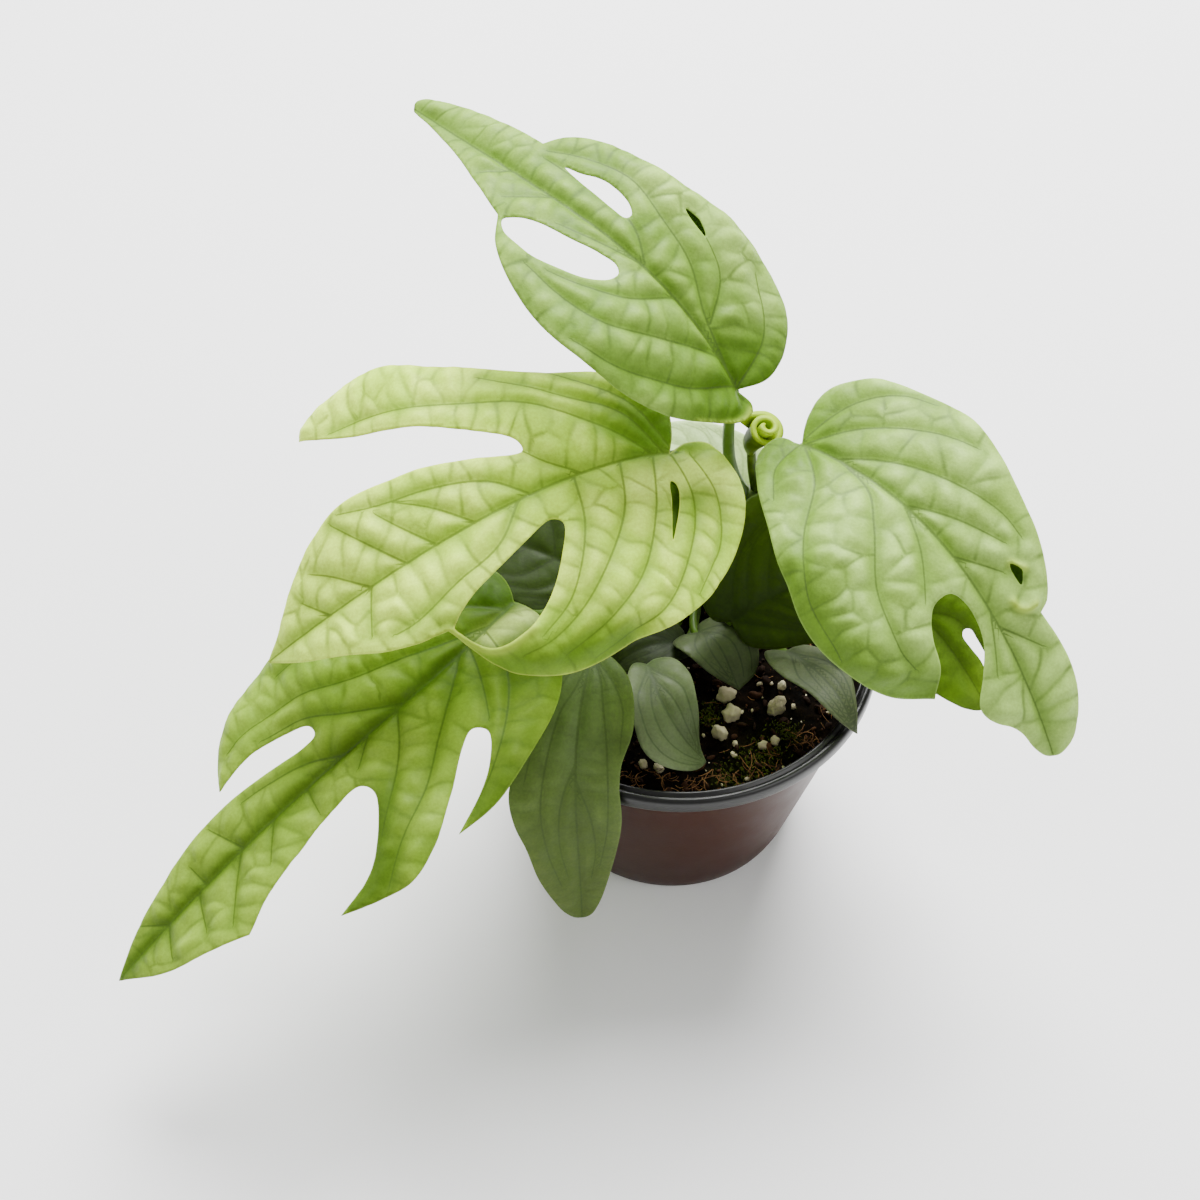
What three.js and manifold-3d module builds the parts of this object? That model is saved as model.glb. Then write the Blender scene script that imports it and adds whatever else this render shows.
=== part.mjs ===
// Potted silver amydrium: a young climbing aroid in a small black nursery pot.
// Millimetres, +Z up. The origin is the centre of the pot's underside.
// The large leaves reach to the left (-X) and the front is -Y.
import * as THREE from 'three';
import { mergeVertices } from 'three/addons/utils/BufferGeometryUtils.js';
import Module from 'manifold-3d';

const wasm = await Module();
wasm.setup();

// Pot
const POT_HEIGHT = 68;
const RIM_RADIUS = 51;
const BASE_RADIUS = 34;
const WALL = 1.2;
const FLOOR = 1.6;
const LIP_HEIGHT = 4.4;
const LIP_WIDTH = 2.6;
// The lip's section: [inward from the rim's outer edge, down from its top]
const LIP_SECTION = [
  [0.6, LIP_HEIGHT], [0, 3.7], [0, 1.2], [0.7, 0.3], [1.4, 0], [2.2, 0.7], [3, 0.1], [3.7, 0.5],
];
const FOOT_BEVEL = 1;
const POT_SIDES = 44;
const DRAIN_HOLES = 6;
const DRAIN_RADIUS = 4;
const DRAIN_SIDES = 10;
const DRAIN_RING = 24;

// Soil
const SOIL_LEVEL = 56;
const SOIL_LUMP = 1.1;
const SOIL_SIDES = 36;
const SOIL_RINGS = [6, 13, 20, 27, 34, 40];
const GAP = 0.35;

// Vine stem: its centre line, from the root end in the soil to the growing tip
const STEM_LINE = [[4, 20, 36], [5, 21, 56], [9, 22, 70], [14, 22.5, 84], [19, 22, 98]];
const STEM_RADIUS = 3.2;
const STEM_TIP_RADIUS = 2.4;
const STEM_HOLE = 4.2;
const STEM_SIDES = 10;
const STEM_STEPS = 12;

// Leaves
const BLADE = 0.8;
const EDGE_STEP = 5;
const WINDOW_STEP = 4;
const RIB_STEP = 7;
const GRID_STEP = 9;
const EDGE_CLEAR = 2.75;
const BEND_SPAN = 40;
const RIPPLE_REACH = 20;
const RIPPLE_LENGTH = 4;
const RIB_SIDES = 6;
const PETIOLE_RADIUS = 1.7;
const RIB_RADIUS = 1.25;
const RIB_END_RADIUS = 0.5;
const RIB_REACH = 0.82;
const RIB_SPACING = 12;
const BOW_SPACING = 7;
const RIB_SINK = 0.25;
const LEAST_THICKNESS = 0.55;
const THICKENING_LENGTH = 160;
const LEAF_ROUGHNESS = 0.45;

const COLOURS = {
  pot: new THREE.Color(0.045, 0.022, 0.012),
  soil: new THREE.Color(0.02, 0.013, 0.007),
  stem: new THREE.Color(0.04, 0.075, 0.006),
  pale: new THREE.Color(0.45, 0.57, 0.2),
  bright: new THREE.Color(0.57, 0.68, 0.24),
  green: new THREE.Color(0.36, 0.5, 0.12),
  dark: new THREE.Color(0.08, 0.12, 0.02),
  silver: new THREE.Color(0.14, 0.18, 0.08),
  young: new THREE.Color(0.3, 0.43, 0.05),
};

// Each leaf is drawn flat first. A point [s, t] lies s along the midrib from the blade's base
// and t to the right of it, as seen from above with the tip ahead. An outline is a list of
// smooth runs that meet at corners. The midrib passes through the four points of rib.
// roll turns the blade about its midrib at the base, middle and tip, fold lifts its two halves
// into a valley and bend curls them down, per BEND_SPAN: [left, right], in degrees. wave is the
// height of the ripples along the edges. node is how far up the stem the petiole leaves it.
// via gives the petiole's two bends where it has to pass other leaves.
const LEAVES = [
  {
    name: 'leaf_top', colour: 'pale', node: 0.95, wave: 0.5,
    via: [[10, 22, 106], [10.5, 15, 128]],
    rib: [[12, 13, 141], [-7, 26, 163], [-31, 45, 171], [-65, 88, 163]],
    roll: [4, 8, 10], fold: [16, 10], bend: [34, 36],
    outline: [
      [[0, 0], [-2, 8], [1, 16], [7, 23], [17, 27], [34, 26], [52, 22], [66, 20], [74, 15], [77, 10]],
      [[77, 10], [85, 10], [96, 9], [110, 6.3], [116, 4.8], [119.5, 3.6], [121, 1.8], [119.5, 0],
       [116, -0.9], [107, -2], [92, -5], [76, -10], [67, -13]],
      [[67, -13], [61, -20], [52, -26], [39, -30], [24, -29], [9, -23], [0, -14], [-6, -4],
       [-5, 1], [0, 0]],
    ],
    windows: [
      [[63, -13], [57, -8], [46, -6], [39, -6], [38, -9], [45, -14], [53, -18], [60, -17]],
      [[67, 9], [60, 12], [52, 12], [46, 9], [47, 7], [57, 7]],
      [[38, 19], [34, 19.5], [30, 17], [34, 17.5]],
    ],
  },
  {
    name: 'leaf_left', colour: 'bright', node: 0.82, wave: 0.6,
    rib: [[-3, 8, 126], [-29, -6, 131], [-60, -21, 123], [-96, -31, 97]],
    roll: [15, 15, 15], fold: [10, 10], bend: [35, 25],
    outline: [
      [[0, 0], [-2, 5], [-3, 11], [2, 18], [10, 24], [25, 29], [41, 41], [55, 50], [70, 50],
       [79, 47], [81, 44]],
      [[81, 44], [68, 36], [53, 28], [40, 19], [34, 13], [34, 10], [46, 14], [61, 19], [76, 21], [88, 18],
        [98, 11], [106, 4], [112, 0]],
      [[112, 0], [102, -6], [91, -11], [80, -17], [69, -20]],
      [[69, -20], [67, -26], [60, -35], [47, -42], [29, -42], [4, -37], [-9, -25], [-15, -9], [-12, 1],
        [-5, 2], [0, 0]],
    ],
    windows: [
      [[36, -8], [43, -10], [53, -14], [62, -17], [65, -20], [64, -25], [58, -29], [50, -27], [44, -22],
        [38, -16], [34, -10]],
      [[3, -9], [5, -16], [9, -22], [7.5, -16], [5.5, -10]],
    ],
  },
  {
    name: 'leaf_front_left', colour: 'green', node: 0.68, wave: 0.7,
    via: [[-5, 15, 92], [-32, -9, 73]],
    rib: [[-40, -8, 91], [-66, -38, 89], [-96, -58, 71], [-134, -82, 39]],
    roll: [0, 0, 0], fold: [10, 10], bend: [25, 25],
    outline: [
      [[0, 0], [-4, 6], [-4, 16], [4, 26], [20, 32], [45, 35], [62, 36], [76, 31], [84, 24], [88, 16]],
      [[88, 16], [76, 17], [66, 15], [60, 12], [60, 9], [74, 10], [90, 12], [106, 10], [122, 6], [136, 0]],
      [[136, 0], [124, -9], [112, -14], [99, -19]],
      [[99, -19], [92, -16], [80, -13], [66, -10], [58, -10], [56, -14], [59, -21], [66, -28], [77, -32]],
      [[77, -32], [68, -35], [60, -37], [53, -34], [45, -27], [37, -20], [33, -18], [31, -21], [36, -28],
        [48, -35]],
      [[48, -35], [38, -35], [26, -31], [14, -25], [5, -15], [1, -7], [0, 0]],
    ],
    windows: [],
  },
  {
    name: 'leaf_right', colour: 'pale', node: 0.78, wave: 0.6,
    via: [[33, 30, 94], [28, 19, 112]],
    rib: [[27, 10, 127], [46, -9, 130], [65, -29, 119], [84, -50, 87]],
    roll: [-15, -15, -15], fold: [10, 10], bend: [25, 25],
    outline: [
      [[0, 0], [-3, -8], [-3, -15], [3, -21], [12, -24], [27, -26], [40, -23], [55, -18],
       [66, -13], [68, -10]],
      [[68, -10], [76, -11], [84, -11], [91, -9.7], [96, -7.5], [99.5, -4.5], [101, -1], [99.5, 1.8],
       [96, 4], [91, 5.7], [88, 7.6], [85, 10.7], [82, 12.6], [79, 13], [73, 9], [66, 5], [58, 4],
       [53, 6], [53, 11], [58, 15], [66, 17], [72, 21]],
      [[72, 21], [66, 30], [57, 35], [41, 37], [23, 32], [9, 23], [-1, 15], [-7, 7], [-6, 1], [0, 0]],
    ],
    windows: [
      [[54, -9], [58, -11.5], [61, -9], [58, -8]],
    ],
  },
  {
    name: 'leaf_under_right', colour: 'dark', node: 0.63, wave: 0.4,
    via: [[11.5, 13, 77], [10, 3, 75]],
    rib: [[13, -3, 76], [30, 1, 86], [51, -3, 88], [75, -22, 68]],
    roll: [-50, -40, -20], fold: [8, 8], bend: [20, 20],
    outline: [
      [[0, 0], [-3, -3], [-2, -10], [5, -17], [13, -23], [19, -25], [28, -23], [40, -16],
       [50, -12], [58, -11]],
      [[58, -11], [61.5, -10], [62.5, -6], [65, -4], [70, -4.5], [75, -3.5], [79, -1.8], [80.5, 1.2],
       [78, 4.8], [74, 7.5], [69, 10], [63, 14], [54, 16], [38, 18], [18, 15], [6, 12], [0, 7], [0, 0]],
    ],
    windows: [],
  },
  {
    name: 'leaf_over_rim_front', colour: 'dark', node: 0.58, wave: 0.4,
    rib: [[-21, -18, 85], [-25, -42, 79], [-25, -53, 59], [-24, -58, 27]],
    roll: [0, 0, 0], fold: [8, 8], bend: [10, 10],
    outline: [
      [[0, 0], [-1, 4], [5, 7], [17, 8.5], [28, 13], [37, 15.8], [44, 15], [51, 12.7], [62, 10.4],
       [72, 7], [78, 4.4], [81.3, 1.8], [82, -0.2], [80.5, -2.4], [75.5, -4.6], [68, -6.8], [56, -9.4],
       [46, -10.8], [36, -10.4]],
      [[36, -10.4], [30, -10.8], [21.4, -13], [14, -12.4], [8, -10.2], [4, -7], [1, -3], [0, 0]],
    ],
    windows: [],
  },
  {
    name: 'leaf_small_front', colour: 'silver', node: 0.38, wave: 0.3,
    via: [[-1, 8, 61.5], [-9, -20, 60]],
    rib: [[-8, -14, 74], [-5, -26, 76], [0, -34, 72], [7, -36, 63]],
    roll: [0, 0, 0], fold: [8, 8], bend: [10, 10],
    outline: [
      [[0, 0], [0, 3], [8, 7], [16, 9], [22, 11], [28, 7], [34, 0]],
      [[34, 0], [26, -5], [17, -8], [8, -9], [0, -6], [-1, -2], [0, 0]],
    ],
    windows: [],
  },
  {
    name: 'leaf_over_rim_right', colour: 'silver', node: 0.4, wave: 0.3,
    via: [[14, 8, 64], [24, 1, 62]],
    rib: [[27, -6, 69], [36, -20, 74], [41, -29, 72], [45, -32, 64]],
    roll: [0, 0, 0], fold: [8, 8], bend: [10, 10],
    outline: [
      [[0, 0], [-3, 4], [2, 7], [10, 8], [18, 6], [26, 4], [33, 0]],
      [[33, 0], [26, -3], [18, -6], [10, -6], [3, -4], [0, 0]],
    ],
    windows: [],
  },
  {
    name: 'leaf_small_middle', colour: 'dark', node: 0.48, wave: 0.3,
    rib: [[5, -1, 70], [9, -6, 73], [12, -10, 70], [15, -14, 64]],
    roll: [0, 0, 0], fold: [8, 8], bend: [20, 20],
    outline: [
      [[0, 0], [-3, 3], [-1, 7], [5, 9], [12, 7], [22, 0]],
      [[22, 0], [20, -6], [15, -9], [7, -9], [0, -7], [-3, -3], [0, 0]],
    ],
    windows: [],
  },
  {
    name: 'leaf_small_left', colour: 'dark', node: 0.43, wave: 0.3,
    rib: [[2, -1, 66], [-4, -4, 69], [-11, -6, 68], [-18, -9, 62]],
    roll: [10, 10, 10], fold: [8, 8], bend: [20, 20],
    outline: [
      [[0, 0], [-2, 3], [1, 7], [9, 9], [17, 7], [24, 0]],
      [[24, 0], [17, -5], [9, -6], [2, -5], [-1, -2], [0, 0]],
    ],
    windows: [],
  },
  {
    name: 'leaf_under_left', colour: 'dark', node: 0.53, wave: 0.4,
    rib: [[-13, 8, 74], [-28, 13, 80], [-43, 20, 80], [-58, 27, 71]],
    roll: [15, 15, 15], fold: [8, 8], bend: [20, 20],
    outline: [
      [[0, 0], [-3, 5], [0, 12], [10, 17], [22, 17], [34, 12], [45, 5], [51, 0]],
      [[51, 0], [45, -5], [34, -11], [22, -16], [10, -16], [0, -11], [-3, -5], [0, 0]],
    ],
    windows: [],
  },
  {
    name: 'leaf_back', colour: 'silver', node: 0.66, wave: 0.6,
    rib: [[22, 34, 80], [12, 40, 87], [0, 46, 89], [-14, 50, 86]],
    roll: [15, 15, 15], fold: [8, 8], bend: [20, 20],
    outline: [
      [[0, 0], [-3, 4], [1, 9], [10, 11], [21, 9], [32, 5], [42, 0]],
      [[42, 0], [32, -6], [21, -11], [10, -12], [1, -9], [-3, -4], [0, 0]],
    ],
    windows: [],
  },
];

// Young leaf, still rolled up
const SCROLL_LINE = [[19.3, 22, 99.1], [19.1, 23.2, 105], [18.8, 23.5, 112.5]];
const SCROLL_FOOT = [18.8, 23.6, 111.3];
const SCROLL_HEAD = [20.7, 19.9, 121];
const SCROLL_TURNS = 1.6;
const SCROLL_INNER = 0.6;
const SCROLL_OUTER = 3.8;
const SCROLL_FOOT_SCALE = 0.35;
const SCROLL_STEPS = 22;
const SCROLL_FLAP = 5;
const SCROLL_FLAP_DROP = 0.4;
const STALK_RADIUS = 1.2;

// Grains of perlite on the soil: [x, y, radius]
const PERLITE = [
  [12, -12, 2.6], [25, -15, 2.6], [13.5, -18, 2.4], [10, -24, 2.2], [27, -9, 1.7], [21, -26.5, 1.7],
  [24, -25.5, 1.6], [-5, -34, 1.6], [-9, -33, 1.5], [-20, 10, 2.2], [-30, 18, 1.9], [16, 36, 2.1],
  [34, 14, 2.3], [-12, 34, 1.8],
];

const UP = new THREE.Vector3(0, 0, 1);

const vector = (p) => new THREE.Vector3(p[0], p[1], p[2]);

// Solids

function toSolid(geometry) {
  const bare = geometry.clone();
  bare.deleteAttribute('normal');
  bare.deleteAttribute('uv');
  const merged = mergeVertices(bare, 1e-4);
  return new wasm.Manifold(new wasm.Mesh({
    numProp: 3,
    vertProperties: new Float32Array(merged.attributes.position.array),
    triVerts: new Uint32Array(merged.index.array),
  }));
}

function toMesh(name, solid, colour, roughness) {
  const result = solid.getMesh();
  const geometry = new THREE.BufferGeometry();
  geometry.setAttribute('position', new THREE.BufferAttribute(new Float32Array(result.vertProperties), 3));
  geometry.setIndex(new THREE.BufferAttribute(new Uint32Array(result.triVerts), 1));
  geometry.computeVertexNormals();
  const material = new THREE.MeshStandardMaterial({ color: colour, roughness, metalness: 0 });
  const mesh = new THREE.Mesh(geometry, material);
  mesh.name = name;
  return mesh;
}

function polygon(sides, radius) {
  const shape = new THREE.Shape();
  for (let i = 0; i < sides; i += 1) {
    const angle = (2 * Math.PI * i) / sides;
    const x = radius * Math.cos(angle);
    const y = radius * Math.sin(angle);
    if (i === 0) shape.moveTo(x, y);
    else shape.lineTo(x, y);
  }
  shape.closePath();
  return shape;
}

// A tube along a curve, whose radius at the curve's fraction u is radiusAt(u).
function taperedTube(curve, steps, sides, radiusAt) {
  const geometry = new THREE.ExtrudeGeometry(polygon(sides, 1), {
    steps,
    extrudePath: curve,
    bevelEnabled: false,
  });
  const stations = curve.getSpacedPoints(steps);
  const position = geometry.attributes.position;
  const point = new THREE.Vector3();
  for (let i = 0; i < position.count; i += 1) {
    point.fromBufferAttribute(position, i);
    let nearest = 0;
    for (let k = 1; k <= steps; k += 1) {
      if (point.distanceTo(stations[k]) < point.distanceTo(stations[nearest])) nearest = k;
    }
    point.sub(stations[nearest]).multiplyScalar(radiusAt(nearest / steps)).add(stations[nearest]);
    position.setXYZ(i, point.x, point.y, point.z);
  }
  return toSolid(geometry);
}

// Leaf outlines and their triangles

function smoothRun(points, step, closed) {
  const curve = new THREE.CatmullRomCurve3(
    points.map(([s, t]) => new THREE.Vector3(s, t, 0)),
    closed,
    'centripetal',
  );
  const count = Math.max(2, Math.round(curve.getLength() / step));
  return curve.getSpacedPoints(count).slice(0, count).map((p) => new THREE.Vector2(p.x, p.y));
}

function inside(point, ring) {
  let odd = false;
  for (let i = 0, j = ring.length - 1; i < ring.length; j = i, i += 1) {
    const a = ring[i];
    const b = ring[j];
    const crosses = (a.y > point.y) !== (b.y > point.y);
    if (crosses && point.x < ((b.x - a.x) * (point.y - a.y)) / (b.y - a.y) + a.x) odd = !odd;
  }
  return odd;
}

function distanceToRing(point, ring) {
  let least = Infinity;
  for (let i = 0; i < ring.length; i += 1) {
    const a = ring[i];
    const edge = ring[(i + 1) % ring.length].clone().sub(a);
    const along = THREE.MathUtils.clamp(point.clone().sub(a).dot(edge) / edge.lengthSq(), 0, 1);
    least = Math.min(least, point.distanceTo(a.clone().addScaledVector(edge, along)));
  }
  return least;
}

const area = (a, b, c) => (b.x - a.x) * (c.y - a.y) - (b.y - a.y) * (c.x - a.x);

function inCircle(a, b, c, d) {
  const rows = [a, b, c].map((p) => [p.x - d.x, p.y - d.y, (p.x - d.x) ** 2 + (p.y - d.y) ** 2]);
  const [u, v, w] = rows;
  return u[0] * (v[1] * w[2] - v[2] * w[1]) - u[1] * (v[0] * w[2] - v[2] * w[0])
    + u[2] * (v[0] * w[1] - v[1] * w[0]) > 1e-9;
}

// Swaps the shared edges of triangle pairs until each pair is the rounder of its two splits.
function flipToDelaunay(points, triangles) {
  const passes = 60;
  let swapped = true;
  for (let pass = 0; swapped && pass < passes; pass += 1) {
    swapped = false;
    const owner = new Map();
    triangles.forEach((triangle, index) => {
      for (let k = 0; k < 3; k += 1) owner.set(`${triangle[k]},${triangle[(k + 1) % 3]}`, index);
    });
    const touched = new Set();
    for (const [key, first] of owner) {
      const [a, b] = key.split(',').map(Number);
      const second = owner.get(`${b},${a}`);
      if (second === undefined || a > b || touched.has(first) || touched.has(second)) continue;
      const c = triangles[first].find((v) => v !== a && v !== b);
      const d = triangles[second].find((v) => v !== a && v !== b);
      const [pa, pb, pc, pd] = [points[a], points[b], points[c], points[d]];
      const convex = area(pa, pd, pc) > 1e-7 && area(pd, pb, pc) > 1e-7;
      if (convex && inCircle(pa, pb, pc, pd)) {
        triangles[first] = [a, d, c];
        triangles[second] = [d, b, c];
        touched.add(first);
        touched.add(second);
        swapped = true;
      }
    }
  }
}

// Points inside the outline: along the midrib, and on a staggered grid to both sides of it.
function innerPoints(rings, length) {
  const found = [];
  for (let s = EDGE_STEP; s < length - EDGE_STEP; s += RIB_STEP) found.push(new THREE.Vector2(s, 0));
  const box = new THREE.Box2().setFromPoints(rings[0]);
  const rowStep = GRID_STEP * Math.sqrt(0.75);
  for (let row = 0; box.min.x + row * rowStep < box.max.x; row += 1) {
    for (let t = GRID_STEP * (row % 2 ? 0.6 : 1.1); t < box.max.y - box.min.y; t += GRID_STEP) {
      found.push(new THREE.Vector2(box.min.x + row * rowStep, t));
      found.push(new THREE.Vector2(box.min.x + row * rowStep, -t));
    }
  }
  return found.filter((point) => inside(point, rings[0])
    && !rings.slice(1).some((ring) => inside(point, ring))
    && rings.every((ring) => distanceToRing(point, ring) > EDGE_CLEAR));
}

// Triangles over a flat outline with its windows.
function triangulate(rings, length) {
  const points = rings.flat();
  const triangles = THREE.ShapeUtils.triangulateShape(rings[0], rings.slice(1)).map((t) => (
    area(points[t[0]], points[t[1]], points[t[2]]) > 0 ? t : [t[0], t[2], t[1]]
  ));
  flipToDelaunay(points, triangles);
  innerPoints(rings, length).forEach((point, order) => {
    const host = triangles.findIndex(([a, b, c]) => area(points[a], points[b], point) > 1e-6
      && area(points[b], points[c], point) > 1e-6 && area(points[c], points[a], point) > 1e-6);
    if (host >= 0) {
      const [a, b, c] = triangles[host];
      const added = points.push(point) - 1;
      triangles[host] = [a, b, added];
      triangles.push([b, c, added], [c, a, added]);
    }
    if (order % 8 === 7) flipToDelaunay(points, triangles);
  });
  flipToDelaunay(points, triangles);
  return { points, triangles };
}

// The surface of a leaf

const DEGREE = Math.PI / 180;

// The cubic that passes through four points at the fractions 0, 1/3, 2/3 and 1.
function cubicThrough([a, b, c, d]) {
  const [p0, p1, p2, p3] = [a, b, c, d].map(vector);
  const blend = (w0, w1, w2, w3) => new THREE.Vector3()
    .addScaledVector(p0, w0).addScaledVector(p1, w1).addScaledVector(p2, w2).addScaledVector(p3, w3);
  return new THREE.CubicBezierCurve3(
    p0,
    blend(-5 / 6, 3, -3 / 2, 1 / 3),
    blend(1 / 3, -3 / 2, 3, -5 / 6),
    p3,
  );
}

// A value that runs smoothly through its three keys at the fractions 0, 1/2 and 1.
const keyed = ([a, b, c], f) => a * (1 - f) * (1 - 2 * f) + 4 * b * f * (1 - f) + c * f * (2 * f - 1);

function leafSurface(leaf) {
  const midrib = cubicThrough(leaf.rib);
  midrib.arcLengthDivisions = 400;
  const length = midrib.getLength();

  function frameAt(s) {
    const f = THREE.MathUtils.clamp(s / length, 0, 1);
    const ahead = midrib.getTangentAt(f);
    const origin = midrib.getPointAt(f).addScaledVector(ahead, s - f * length);
    const right = new THREE.Vector3().crossVectors(ahead, UP).normalize();
    const up = new THREE.Vector3().crossVectors(right, ahead);
    const roll = keyed(leaf.roll, f) * DEGREE;
    const side = right.clone().multiplyScalar(Math.cos(roll)).addScaledVector(up, Math.sin(roll));
    const lift = up.clone().multiplyScalar(Math.cos(roll)).addScaledVector(right, -Math.sin(roll));
    return { origin, ahead, side, lift };
  }

  function pointAt(s, t) {
    const { origin, side, lift } = frameAt(s);
    const half = t < 0 ? 0 : 1;
    const fold = leaf.fold[half] * DEGREE;
    const curl = (leaf.bend[half] * DEGREE) / BEND_SPAN;
    const reach = Math.abs(t);
    const across = (Math.sin(fold) - Math.sin(fold - curl * reach)) / curl;
    const rise = (Math.cos(fold - curl * reach) - Math.cos(fold)) / curl;
    const ripple = leaf.wave * Math.min(1, (reach / RIPPLE_REACH) ** 2)
      * Math.sin(s / RIPPLE_LENGTH + half);
    return origin.addScaledVector(side, Math.sign(t) * across).addScaledVector(lift, rise + ripple);
  }

  function normalAt(s, t) {
    const step = 0.2;
    const along = pointAt(s + step, t).sub(pointAt(s - step, t));
    const across = pointAt(s, t + step).sub(pointAt(s, t - step));
    return new THREE.Vector3().crossVectors(across, along).normalize();
  }

  return { length, frameAt, pointAt, normalAt };
}

function bladeSolid(leaf, surface) {
  const outer = leaf.outline.flatMap((run) => smoothRun(run, EDGE_STEP, false));
  const rings = [outer, ...leaf.windows.map((ring) => smoothRun(ring, WINDOW_STEP, true))];
  const { points, triangles } = triangulate(rings, surface.length);
  const count = points.length;
  const position = [];
  [BLADE / 2, -BLADE / 2].forEach((offset) => {
    points.forEach((p) => {
      const at = surface.pointAt(p.x, p.y).addScaledVector(surface.normalAt(p.x, p.y), offset);
      position.push(at.x, at.y, at.z);
    });
  });
  const index = [];
  const edges = new Set();
  triangles.forEach(([a, b, c]) => {
    index.push(a, c, b, a + count, b + count, c + count);
    [[a, b], [b, c], [c, a]].forEach(([from, to]) => edges.add(`${from},${to}`));
  });
  edges.forEach((key) => {
    const [from, to] = key.split(',').map(Number);
    if (!edges.has(`${to},${from}`)) {
      index.push(from, to, to + count, from, to + count, from + count);
    }
  });
  const geometry = new THREE.BufferGeometry();
  geometry.setAttribute('position', new THREE.Float32BufferAttribute(position, 3));
  geometry.setIndex(index);
  return toSolid(geometry);
}

// The petiole starts inside the stem, arches up and runs on as the midrib under the blade.
function petioleSolid(leaf, surface, stemCurve) {
  const thickness = Math.min(1, LEAST_THICKNESS + surface.length / THICKENING_LENGTH);
  const ribRadiusAt = (f) => thickness * THREE.MathUtils.lerp(RIB_RADIUS, RIB_END_RADIUS, f);
  const underRib = (s, f) => surface.pointAt(s, 0)
    .addScaledVector(surface.frameAt(s).lift, RIB_SINK - ribRadiusAt(f));
  const base = surface.pointAt(0, 0);
  const from = stemCurve.getPointAt(leaf.node);
  const heading = leaf.via ? vector(leaf.via[0]) : base;
  const outward = heading.clone().sub(from).setZ(0).normalize();
  const start = from.clone().addScaledVector(outward, stemRadiusAt(leaf.node) * 0.4);
  const reach = base.distanceTo(start);
  const via = leaf.via?.map(vector) ?? [
    start.clone().addScaledVector(outward, reach * 0.22).addScaledVector(UP, reach * 0.25),
    base.clone().addScaledVector(surface.frameAt(0).ahead, -reach * 0.3).addScaledVector(UP, -0.5),
  ];
  const bow = new THREE.CubicBezierCurve3(start, via[0], via[1], underRib(0, 0));
  const bowSteps = Math.max(4, Math.round(reach / BOW_SPACING));
  const line = bow.getSpacedPoints(bowSteps).slice(0, bowSteps);
  const ribEnd = surface.length * RIB_REACH;
  const ribSteps = Math.max(3, Math.round(ribEnd / RIB_SPACING));
  for (let i = 0; i <= ribSteps; i += 1) line.push(underRib((i / ribSteps) * ribEnd, i / ribSteps));
  const curve = new THREE.CatmullRomCurve3(line, false, 'centripetal');
  const whole = curve.getLength();
  const split = (whole - ribEnd) / whole;
  return taperedTube(curve, bowSteps + ribSteps, RIB_SIDES, (u) => (u < split
    ? thickness * THREE.MathUtils.lerp(PETIOLE_RADIUS, RIB_RADIUS, u / split)
    : ribRadiusAt((u - split) / (1 - split))));
}

// A leaf is trimmed back to the stem's surface, so that its petiole sits against the stem.
function leafMesh(leaf, stemCurve, stemSpace) {
  const surface = leafSurface(leaf);
  const solid = bladeSolid(leaf, surface).add(petioleSolid(leaf, surface, stemCurve)).subtract(stemSpace);
  return toMesh(leaf.name, solid, COLOURS[leaf.colour], LEAF_ROUGHNESS);
}

// The rolled young leaf: a spiral sheet that widens upward, on its own stalk

function scrollMesh() {
  const outer = [];
  const inner = [];
  for (let i = 0; i <= SCROLL_STEPS; i += 1) {
    const f = i / SCROLL_STEPS;
    const angle = Math.PI / 2 - 2 * Math.PI * SCROLL_TURNS * (1 - f);
    const radius = THREE.MathUtils.lerp(SCROLL_INNER, SCROLL_OUTER - BLADE, f);
    outer.push(new THREE.Vector2((radius + BLADE) * Math.cos(angle), (radius + BLADE) * Math.sin(angle)));
    inner.push(new THREE.Vector2(radius * Math.cos(angle), radius * Math.sin(angle)));
  }
  outer.push(new THREE.Vector2(-SCROLL_FLAP, SCROLL_OUTER - SCROLL_FLAP_DROP));
  inner.push(new THREE.Vector2(-SCROLL_FLAP, SCROLL_OUTER - SCROLL_FLAP_DROP - BLADE));
  const shape = new THREE.Shape([...outer, ...inner.reverse()]);
  const axis = vector(SCROLL_HEAD).sub(vector(SCROLL_FOOT));
  const height = axis.length();
  const geometry = new THREE.ExtrudeGeometry(shape, { depth: height, steps: 3, bevelEnabled: false });
  const position = geometry.attributes.position;
  for (let i = 0; i < position.count; i += 1) {
    const scale = THREE.MathUtils.lerp(SCROLL_FOOT_SCALE, 1, position.getZ(i) / height);
    position.setX(i, position.getX(i) * scale);
    position.setY(i, position.getY(i) * scale);
  }
  const turn = new THREE.Quaternion().setFromUnitVectors(UP, axis.normalize());
  geometry.applyQuaternion(turn);
  geometry.translate(...SCROLL_FOOT);
  const stalk = new THREE.CatmullRomCurve3(SCROLL_LINE.map(vector), false, 'centripetal');
  const solid = toSolid(geometry).add(taperedTube(stalk, 4, RIB_SIDES, () => STALK_RADIUS));
  return toMesh('young_leaf', solid, COLOURS.young, LEAF_ROUGHNESS);
}

// Stem, soil and pot

const stemRadiusAt = (u) => THREE.MathUtils.lerp(STEM_RADIUS, STEM_TIP_RADIUS, u);

const stemSolid = (stemCurve, spare) => taperedTube(
  stemCurve,
  STEM_STEPS,
  STEM_SIDES,
  (u) => stemRadiusAt(u) + spare,
);

const outerWallAt = (z) => THREE.MathUtils.lerp(
  BASE_RADIUS,
  RIM_RADIUS - LIP_WIDTH,
  z / (POT_HEIGHT - LIP_HEIGHT),
);

const soilTopAt = (x, y) => SOIL_LEVEL
  + SOIL_LUMP * (Math.sin(x * 0.21 + 1.3) * Math.cos(y * 0.17) + 0.6 * Math.sin(x * 0.43 + y * 0.39));

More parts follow.
